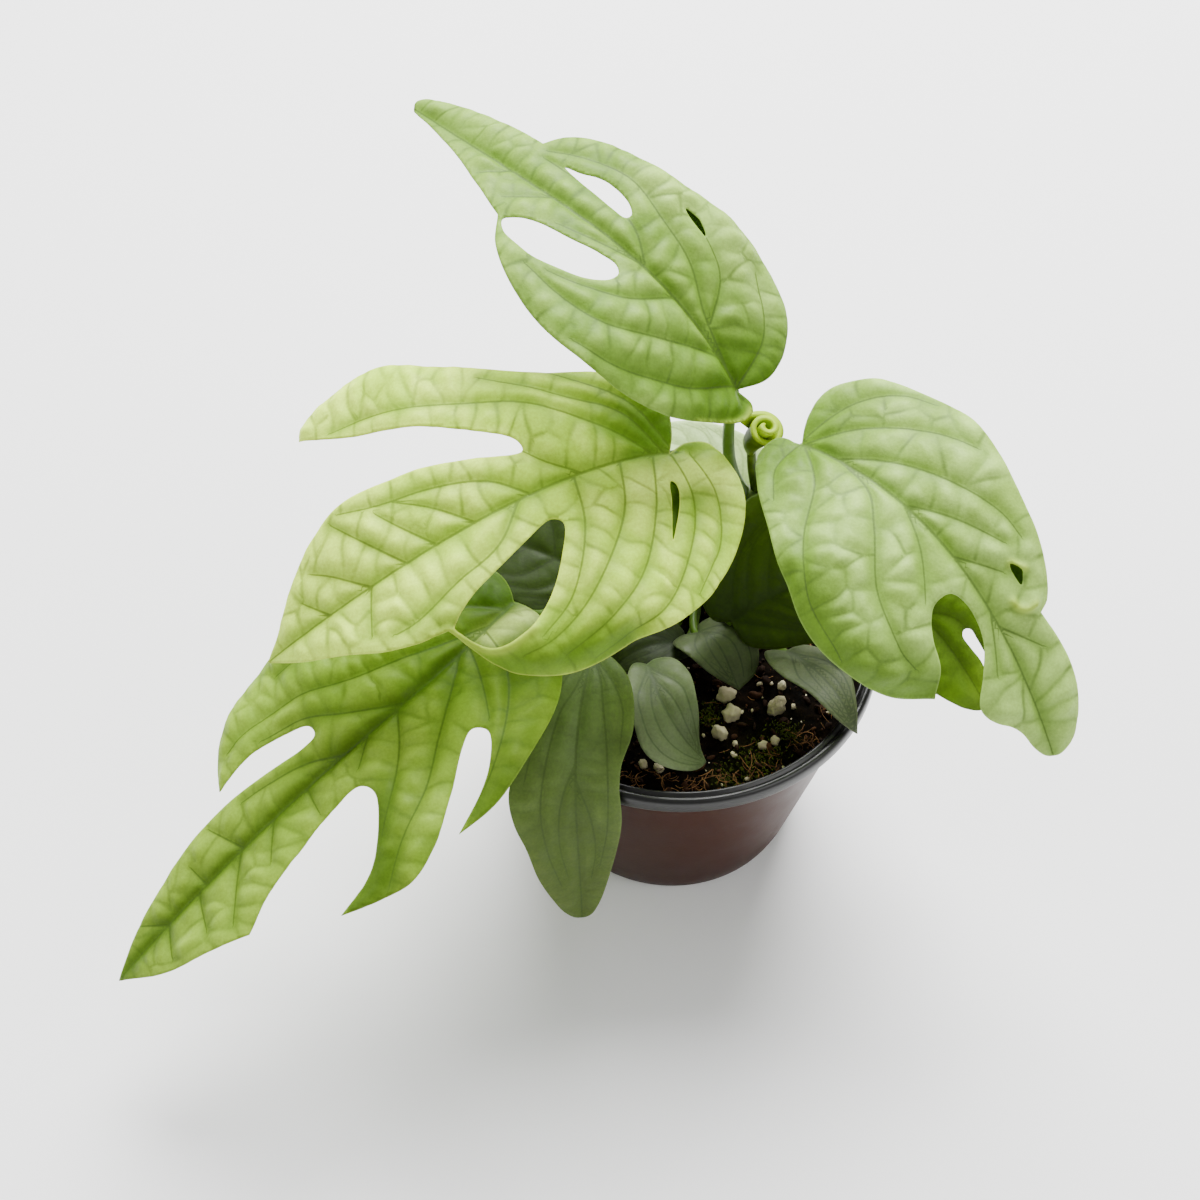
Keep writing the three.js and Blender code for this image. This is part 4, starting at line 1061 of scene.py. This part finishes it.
@cache
def petiole_material():
    g = Graph("petiole")
    streak = g.noise(500.0, 4.0, 0.6)
    colour = g.mix(g.smooth(g.noise(90.0, 3.0, 0.5), 0.3, 0.7), (0.05, 0.1, 0.008),
                   (0.085, 0.16, 0.02))
    colour = g.mix(g.smooth(streak, 0.5, 0.8, 0.0, 0.35), colour, (0.16, 0.24, 0.06))
    return g.finish(Base_Color=colour, Roughness=0.42, Normal=g.bump(streak, 0.00008, 0.4),
                    Specular_IOR_Level=0.2)


def stem_material():
    g = Graph("stem")
    bark = g.noise(260.0, 5.0, 0.65)
    colour = g.mix(g.smooth(g.attribute("along"), 0.2, 0.7), (0.09, 0.075, 0.03),
                   (0.05, 0.1, 0.012))
    colour = g.mix(g.smooth(bark, 0.45, 0.7, 0.0, 0.6), colour, (0.16, 0.14, 0.06))
    colour = g.mix(g.smooth(g.attribute("ring"), 0.2, 0.9, 0.0, 0.7), colour, (0.13, 0.1, 0.045))
    return g.finish(Base_Color=colour, Roughness=0.55, Normal=g.bump(bark, 0.0002, 0.5))


def young_material():
    g = Graph("young_leaf")
    cloud = g.noise(200.0, 3.0, 0.5)
    # Darker towards the scroll's foot and on its stalk, and on the painted shade of its front
    colour = g.mix(g.smooth(g.attribute("high"), 0.5, 0.95), (0.04, 0.07, 0.001),
                   (0.27, 0.42, 0.006))
    colour = g.mix(g.smooth(cloud, 0.4, 0.7, 0.0, 0.25), colour, (0.2, 0.32, 0.01))
    colour = g.mix(g.math("MULTIPLY", g.attribute("lip"), 0.7), colour, (0.42, 0.6, 0.015))
    return g.finish(Base_Color=colour, Roughness=0.42, Normal=g.bump(cloud, 0.0001, 0.4),
                    Specular_IOR_Level=0.15)


def soil_material():
    g = Graph("soil")
    crumb = g.noise(420.0, 6.0, 0.7)
    patch = g.noise(55.0, 3.0, 0.55)
    colour = g.mix(g.smooth(crumb, 0.35, 0.7), (0.0008, 0.0006, 0.0004), (0.006, 0.0038, 0.0018))
    colour = g.mix(g.smooth(patch, 0.5, 0.72, 0.0, 0.6), colour, (0.014, 0.007, 0.0025))
    colour = g.mix(g.math("MULTIPLY", g.attribute("moss"), g.smooth(crumb, 0.35, 0.6)), colour,
                   (0.012, 0.016, 0.002))
    return g.finish(Base_Color=colour, Roughness=g.smooth(crumb, 0.3, 0.7, 0.7, 1.0),
                    Normal=g.bump(crumb, 0.0009, 0.9), Specular_IOR_Level=0.03)


def grain_material(name, dark, light, rough, scale, depth):
    g = Graph(name)
    grain = g.noise(scale, 5.0, 0.65)
    tint = g.smooth(g.attribute("tint"), 0.0, 1.0)
    colour = g.mix(g.math("MULTIPLY", grain, 0.5), dark, light)
    colour = g.mix(tint, colour, light)
    return g.finish(Base_Color=colour, Roughness=rough, Normal=g.bump(grain, depth, 0.8),
                    Specular_IOR_Level=0.15)


def pot_material():
    g = Graph("pot_wall")
    fine = g.noise(900.0, 4.0, 0.6)
    smear = g.noise(28.0, 4.0, 0.6)
    # The wall's dark brown and the brown tint of its reflections: partly the plastic's own colour,
    # partly a painted brown reflection
    colour = g.mix(g.smooth(smear, 0.3, 0.75), (0.027, 0.0058, 0.0016), (0.034, 0.0074, 0.0022))
    rough = g.smooth(smear, 0.3, 0.75, 0.3, 0.4)
    return g.finish(Base_Color=colour, Roughness=rough, Normal=g.bump(fine, 0.00004, 0.5),
                    Specular_IOR_Level=0.07, Specular_Tint=(1.0, 0.45, 0.25))


def lip_material():
    g = Graph("pot_lip")
    fine = g.noise(900.0, 4.0, 0.6)
    colour = g.mix(g.smooth(fine, 0.3, 0.7), (0.0035, 0.0035, 0.003), (0.006, 0.006, 0.005))
    return g.finish(Base_Color=colour, Roughness=0.33, Normal=g.bump(fine, 0.00004, 0.5),
                    Specular_IOR_Level=0.45)


# Pot and soil

def outer_wall(z):
    return BASE_RADIUS + (RIM_RADIUS - LIP_WIDTH - BASE_RADIUS) * z / (POT_HEIGHT - LIP_HEIGHT)


def circle(radius, n, centre=(0, 0)):
    angle = np.linspace(0, 2 * math.pi, n, endpoint=False)
    return np.stack([centre[0] + radius * np.cos(angle), centre[1] + radius * np.sin(angle)], 1)


def at_height(flat, z):
    return np.column_stack([flat, np.full(len(flat), float(z))])


def pot_object():
    build = Build()
    foot = POT_HEIGHT - LIP_HEIGHT
    wall_top = outer_wall(foot)
    outside = [[BASE_RADIUS - 1, 0], [BASE_RADIUS - 0.3, 0.25], [BASE_RADIUS, 1]]
    for z in np.linspace(4, foot - 1, 16):
        outside.append([outer_wall(z), z])
    outside += [[wall_top, foot - 0.25], [wall_top + 0.25, foot]]
    outside += [[RIM_RADIUS - inward, POT_HEIGHT - down] for inward, down in LIP_SECTION]
    inner = [[wall_top - WALL, foot - 1]]
    for z in np.linspace(foot - 4, FLOOR + 2, 14):
        inner.append([outer_wall(z) - WALL, z])
    corner = outer_wall(FLOOR) - WALL
    inner += [[corner - 0.2, FLOOR + 0.4], [corner - 0.8, FLOOR]]
    profile = np.array(outside + inner)
    points = np.vstack([at_height(circle(r, POT_SIDES), z) for r, z in profile])
    build.add(points, bands(len(profile), POT_SIDES))
    holes = [circle(DRAIN_RADIUS, DRAIN_SIDES,
                    (DRAIN_RING * math.cos(a), DRAIN_RING * math.sin(a)))
             for a in 2 * math.pi * (np.arange(DRAIN_HOLES) + 0.5) / DRAIN_HOLES]
    for z, radius, down in ((0, BASE_RADIUS - 1, True), (FLOOR, profile[-1][0], False)):
        flat, tris = fill([circle(radius, POT_SIDES)] + holes, 3.0)
        build.add(at_height(flat, z), tris[:, ::-1] if down else tris)
    for hole in holes:
        n = len(hole)
        both = np.vstack([at_height(hole, 0), at_height(hole, FLOOR)])
        build.add(both, [[(k + 1) % n, k, k + n, (k + 1) % n + n] for k in range(n)])
    obj = build.make("pot_shell", [pot_material(), lip_material()])
    weld(obj)
    for polygon in obj.data.polygons:
        x, y, z = polygon.center / MM
        if z > foot - 0.1 or math.hypot(x, y) < outer_wall(z) - WALL / 2 and z > FLOOR / 2:
            polygon.material_index = 1
    obj.data.set_sharp_from_angle(angle=math.radians(CREASE_DEGREES))
    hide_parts("pot")
    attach(obj, "root")


def weld(obj):
    """Joins the points that lie on each other and turns all the faces outward."""
    bm = bmesh.new()
    bm.from_mesh(obj.data)
    bmesh.ops.remove_doubles(bm, verts=bm.verts, dist=0.02 * MM)
    bmesh.ops.recalc_face_normals(bm, faces=bm.faces)
    bm.to_mesh(obj.data)
    bm.free()


def soil_top(x, y):
    return SOIL_LEVEL + SOIL_LUMP * (np.sin(x * 0.21 + 1.3) * np.cos(y * 0.17)
                                     + 0.6 * np.sin(x * 0.43 + y * 0.39))


def rough_soil(flat):
    """Height of the crumbly surface."""
    fine, lumps = field(flat, 0.42, 3.0, 0.8, 2.1, 5), field(flat, 0.9, 9.0)
    return soil_top(flat[:, 0], flat[:, 1]) + 0.9 * fine + 0.7 * np.maximum(lumps, 0)


def soil_object():
    build = Build()
    top = outer_wall(SOIL_LEVEL) - WALL - 0.05
    bottom = outer_wall(FLOOR) - WALL - 0.9
    ring = circle(top, SOIL_SIDES)
    flat, tris = fill([ring], SOIL_STEP)
    x, y = flat[:, 0], flat[:, 1]
    z = rough_soil(flat) - 0.6 * smooth(np.hypot(x, y), top - 1.5, top)
    moss = np.zeros(len(x))
    for mx, my, r in MOSS:
        moss = np.maximum(moss, np.exp(-((x - mx) ** 2 + (y - my) ** 2) / r ** 2))
    build.add(np.column_stack([flat, z]), tris, 0, moss=moss)
    n = len(ring)
    rim = np.column_stack([ring, z[:n]])
    low = at_height(ring * (bottom / top), FLOOR + 0.15)
    build.add(np.vstack([rim, low, [[0, 0, FLOOR + 0.15]]]),
              [[k + n, (k + 1) % n + n, (k + 1) % n, k] for k in range(n)]
              + [[2 * n, (k + 1) % n + n, k + n] for k in range(n)], 0, moss=0.0)
    obj = build.make("soil_mix", [soil_material()])
    weld(obj)
    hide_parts("soil")
    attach(obj, "root")


def ball(detail):
    """Points and faces of an icosphere of radius 1."""
    bm = bmesh.new()
    bmesh.ops.create_icosphere(bm, subdivisions=detail, radius=1)
    points = np.array([v.co[:] for v in bm.verts])
    faces = [[v.index for v in f.verts] for f in bm.faces]
    bm.free()
    return points, faces


def turned(points, draw):
    """The points, turned at random."""
    q = draw.normal(size=4)
    q /= np.linalg.norm(q)
    w, x, y, z = q
    m = np.array([
        [1 - 2 * (y * y + z * z), 2 * (x * y - z * w), 2 * (x * z + y * w)],
        [2 * (x * y + z * w), 1 - 2 * (x * x + z * z), 2 * (y * z - x * w)],
        [2 * (x * z - y * w), 2 * (y * z + x * w), 1 - 2 * (x * x + y * y)],
    ])
    return points @ m.T


def scatter(draw, count, limit):
    """Random places on the soil, clear of the stem."""
    places = []
    while len(places) < count:
        r, a = limit * math.sqrt(draw.random()), draw.random() * 2 * math.pi
        x, y = r * math.cos(a), r * math.sin(a)
        if (x - STEM_FOOT[0]) ** 2 + (y - STEM_FOOT[1]) ** 2 > STEM_ROOM_SQUARED:
            places.append((x, y))
    return places


def lump(points, push, depth, draw):
    """The points pushed in and out by a noise and turned at random."""
    shift = draw.random(3) * 40
    pushed = np.array([push(p, shift) for p in points])
    return turned(points * (1 + depth * pushed[:, None]), draw)


def loose_pieces():
    draw = np.random.default_rng(SOIL_SEED)
    sphere, sphere_faces = ball(3)
    rough, rough_faces = ball(2)
    grains = Build()
    spots = PERLITE + [(x, y, 0.22 + 0.4 * draw.random() ** 2)
                       for x, y in scatter(draw, SOIL_GRAINS, LOOSE_REACH - 0.5)]
    for x, y, r in spots:
        points = sphere * [1, 0.82 + 0.3 * draw.random(), 0.72]
        points = r * lump(points, lambda p, shift: noise.fractal(
            Vector(p * 1.5 + shift), 0.9, 2.0, 3), 0.33, draw)
        z = float(soil_top(x, y)) + 0.45 + 0.35 * r
        grains.add(points + [x, y, z], sphere_faces, 0, tint=float(draw.random() ** 2))
    perlite = grains.make("soil_perlite", [grain_material(
        "perlite", (0.34, 0.3, 0.16), (0.8, 0.74, 0.5), 0.8, 900.0, 0.0006)])

    chips = Build()
    for x, y in scatter(draw, SOIL_CHIPS, LOOSE_REACH):
        size = 0.35 + 1.4 * draw.random() ** 3
        points = rough * [1, 0.35 + 0.5 * draw.random(), 0.25 + 0.35 * draw.random()]
        points = size * lump(points, lambda p, shift: noise.noise(Vector(p * 1.7 + shift)),
                             0.5, draw)
        front = math.exp(-((x + 4) ** 2 + (y + 42) ** 2) / 200)
        chips.add(points + [x, y, float(soil_top(x, y)) + 0.35 + 0.25 * size], rough_faces, 0,
                  tint=min(1.0, float(draw.random() ** 3) + front * float(draw.random())))
    bark = chips.make("soil_bark", [grain_material(
        "bark", (0.0025, 0.0014, 0.0007), (0.06, 0.024, 0.008), 0.8, 500.0, 0.0004)])

    strands = Build()
    for k, (x, y) in enumerate(scatter(draw, SOIL_FIBRES, LOOSE_REACH - 1)):
        if k < FRONT_FIBRES:
            a = -math.pi / 2 + draw.normal() * 0.7
            r = 36 + 8 * draw.random()
            x, y = r * math.cos(a), r * math.sin(a)
        long = 1.5 + 5.0 * draw.random() ** 2
        a = draw.random() * 2 * math.pi
        w = np.linspace(-0.5, 0.5, 7)
        bow = draw.normal() * 0.25
        line = np.stack([x + long * (w * math.cos(a) - bow * w ** 2 * 4 * math.sin(a)),
                         y + long * (w * math.sin(a) + bow * w ** 2 * 4 * math.cos(a)),
                         np.full(7, float(soil_top(x, y)) + 1.2 + 0.4 * draw.random())
                         + 0.5 * draw.normal() * w], 1)
        radius = np.maximum(np.hypot(line[:, 0], line[:, 1]), 1)
        line[:, :2] *= np.minimum(1, 44.6 / radius)[:, None]
        tube(strands, line, 0.05 + 0.07 * draw.random() * np.sin(np.linspace(0.4, 2.7, 7)), 5,
             tint=float(draw.random()))
    fibres = strands.make("soil_fibres", [grain_material(
        "fibre", (0.035, 0.013, 0.004), (0.26, 0.13, 0.045), 0.7, 700.0, 0.0001)])

    tufts = Build()
    for mx, my, r in MOSS:
        for _ in range(int(TUFTS_PER_MM * r)):
            x, y = mx + draw.normal() * r * 0.5, my + draw.normal() * r * 0.5
            if math.hypot(x, y) > LOOSE_REACH:
                continue
            tall = 0.35 + 0.6 * draw.random()
            lean = draw.normal(size=2) * 0.35
            foot = np.array([x, y, float(soil_top(x, y)) + 0.6])
            top = foot + [lean[0], lean[1], tall]
            tube(tufts, np.linspace(foot, top, 3), [0.16, 0.2, 0.03], 5,
                 tint=float(draw.random()))
    moss = tufts.make("soil_moss", [grain_material(
        "moss", (0.012, 0.018, 0.001), (0.075, 0.1, 0.008), 0.8, 900.0, 0.0001)])
    for obj in (perlite, bark, fibres, moss):
        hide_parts("soil")
        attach(obj, "root")


def stem_object(stem):
    build = Build()
    f = np.linspace(0, 1, len(stem))
    radii = blend(STEM_RADIUS, STEM_TIP_RADIUS, f)
    ring = np.zeros(len(stem))
    for leaf in LEAVES:
        ring = np.maximum(ring, np.exp(-((f - leaf["node"] + 0.012) / 0.008) ** 2))
    radii = radii * (1 + NODE_SWELL * ring)
    radii[-3:] *= [0.96, 0.8, 0.45]
    tube(build, stem, radii, STEM_SIDES, along=f, ring=ring)
    obj = build.make("vine_stem_skin", [stem_material()])
    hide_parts("vine_stem")
    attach(obj, "root")


# Young leaf

def young_object():
    """The rolled young leaf: a scroll's section, wider from row to row, on its stalk."""
    build = Build()
    f = np.linspace(0, 1, SCROLL_STEPS)
    angle = math.pi / 2 - 2 * math.pi * SCROLL_TURNS * (1 - f)
    radius = SCROLL_INNER + (SCROLL_OUTER - SCROLL_SHEET / 2 - SCROLL_INNER) * f ** 0.75
    path = np.stack([radius * np.cos(angle), radius * np.sin(angle)], 1)
    flap = np.linspace(0, 1, 16)[1:, None]
    path = np.vstack([path, path[-1] + flap * [-SCROLL_FLAP, -0.8] + flap ** 2 * [0, -1.4]])
    along = unit(np.gradient(path, axis=0))
    out = np.stack([along[:, 1], -along[:, 0]], 1)
    m = len(path)
    fade = np.minimum(1, np.linspace(0, 12, m)) * np.minimum(1, np.linspace(9, 0.2, m))
    half = (SCROLL_SHEET * 0.5 * (0.35 + 0.65 * fade))[:, None]
    section = np.vstack([path + out * half, (path - out * half)[::-1]])
    foot, head = np.array(SCROLL_FOOT, float), np.array(SCROLL_HEAD, float)
    ahead = unit(head - foot)
    basis = np.array(Vector((0, 0, 1)).rotation_difference(Vector(ahead)).to_matrix())
    n = len(section)
    points, high, lip = [], [], []
    share = np.concatenate([np.linspace(0, 1, m), np.linspace(1, 0, m)])
    index = np.concatenate([np.arange(m), np.arange(m)[::-1]])
    for row in range(SCROLL_ROWS + 1):
        g = row / SCROLL_ROWS
        scale = SCROLL_FOOT_SCALE + (1 - SCROLL_FOOT_SCALE) * g ** 0.85
        tall = np.linalg.norm(head - foot) * g * np.ones(n)
        tall += g ** 3 * (0.8 * np.sin(share * 7) + SCROLL_CORE_RISE * (0.6 - share))
        shape = section * scale * (1 + SCROLL_FLARE * smooth(g, 0.7, 1) * share)[:, None]
        shape[index >= SCROLL_STEPS, 0] *= 0.15 + 0.85 * smooth(g, 0.6, 0.95)
        flat = np.column_stack([shape, tall])
        points.append(foot + flat @ basis.T + [SCROLL_BELLY * math.sin(math.pi * g), 0, 0])
        # Painted shade: the outer side of the scroll's lower-left front is darker, turned away from
        # the light
        front = np.exp(-((share * m / SCROLL_STEPS - SCROLL_SHADE_AT) / SCROLL_SHADE_SPAN) ** 2)
        high.append(g - 0.55 * front * (np.arange(n) < m))
        lip.append(np.full(n, smooth(g, 0.93, 1.0)))
    faces = bands(SCROLL_ROWS + 1, n)
    for r, flip in ((0, True), (SCROLL_ROWS, False)):
        for k in range(m - 1):
            quad = [r * n + k, r * n + k + 1, r * n + n - 2 - k, r * n + n - 1 - k]
            faces.append(quad[::-1] if flip else quad)
    build.add(np.vstack(points), faces, 0, high=np.concatenate(high), lip=np.concatenate(lip))
    line = catmull(SCROLL_LINE, 0.8)
    tube(build, line, np.linspace(1.35, 1.15, len(line)), high=0.1, lip=0.0)
    obj = build.make("young_leaf_scroll", [young_material()])
    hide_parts("young_leaf")
    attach(obj, "root")


# The camera stands at the photograph's viewing angle.
camera = bpy.data.objects.new("camera", bpy.data.cameras.new("camera"))
bpy.context.collection.objects.link(camera)
camera.location = (-0.0194937, -0.289288, 0.438516)
camera.rotation_euler = (math.radians(39), 0, 0)
camera.data.sensor_fit = "HORIZONTAL"
camera.data.sensor_width = 36
camera.data.lens = 55.695
camera.data.clip_start = 0.01
camera.data.clip_end = 20
bpy.context.scene.camera = camera


def area_light(name, place, target, size, power):
    light = bpy.data.lights.new(name, "AREA")
    light.shape = "DISK"
    light.size = size
    light.energy = power
    obj = bpy.data.objects.new(name, light)
    bpy.context.collection.objects.link(obj)
    obj.location = place
    obj.rotation_euler = (Vector(target) - Vector(place)).to_track_quat("-Z", "Y").to_euler()


area_light("key", (0.1, 0.78, 1.12), (0, 0, 0.08), 1.05, 70)
area_light("fill", (0.8, -0.5, 0.9), (0, 0, 0.08), 0.8, 6)
area_light("left", (-0.9, -0.2, 0.8), (0, 0, 0.1), 0.6, 4.5)
world = bpy.data.worlds.new("studio")
bpy.context.scene.world = world
world.use_nodes = True
world.node_tree.nodes["Background"].inputs["Color"].default_value = (1, 1, 1, 1)
world.node_tree.nodes["Background"].inputs["Strength"].default_value = 0.43

floor_mesh = bpy.data.meshes.new("floor")
floor_mesh.from_pydata([(-4, -4, 0), (4, -4, 0), (4, 4, 0), (-4, 4, 0)], [], [[0, 1, 2, 3]])
floor_object = bpy.data.objects.new("floor", floor_mesh)
bpy.context.collection.objects.link(floor_object)
floor_graph = Graph("floor")
floor_object.data.materials.append(floor_graph.finish(Base_Color=(0.93, 0.93, 0.93), Roughness=0.9))

stem_line = catmull(STEM_LINE, 0.6)
pot_object()
soil_object()
loose_pieces()
stem_object(stem_line)
for one in LEAVES:
    leaf_object(one, stem_line)
young_object()
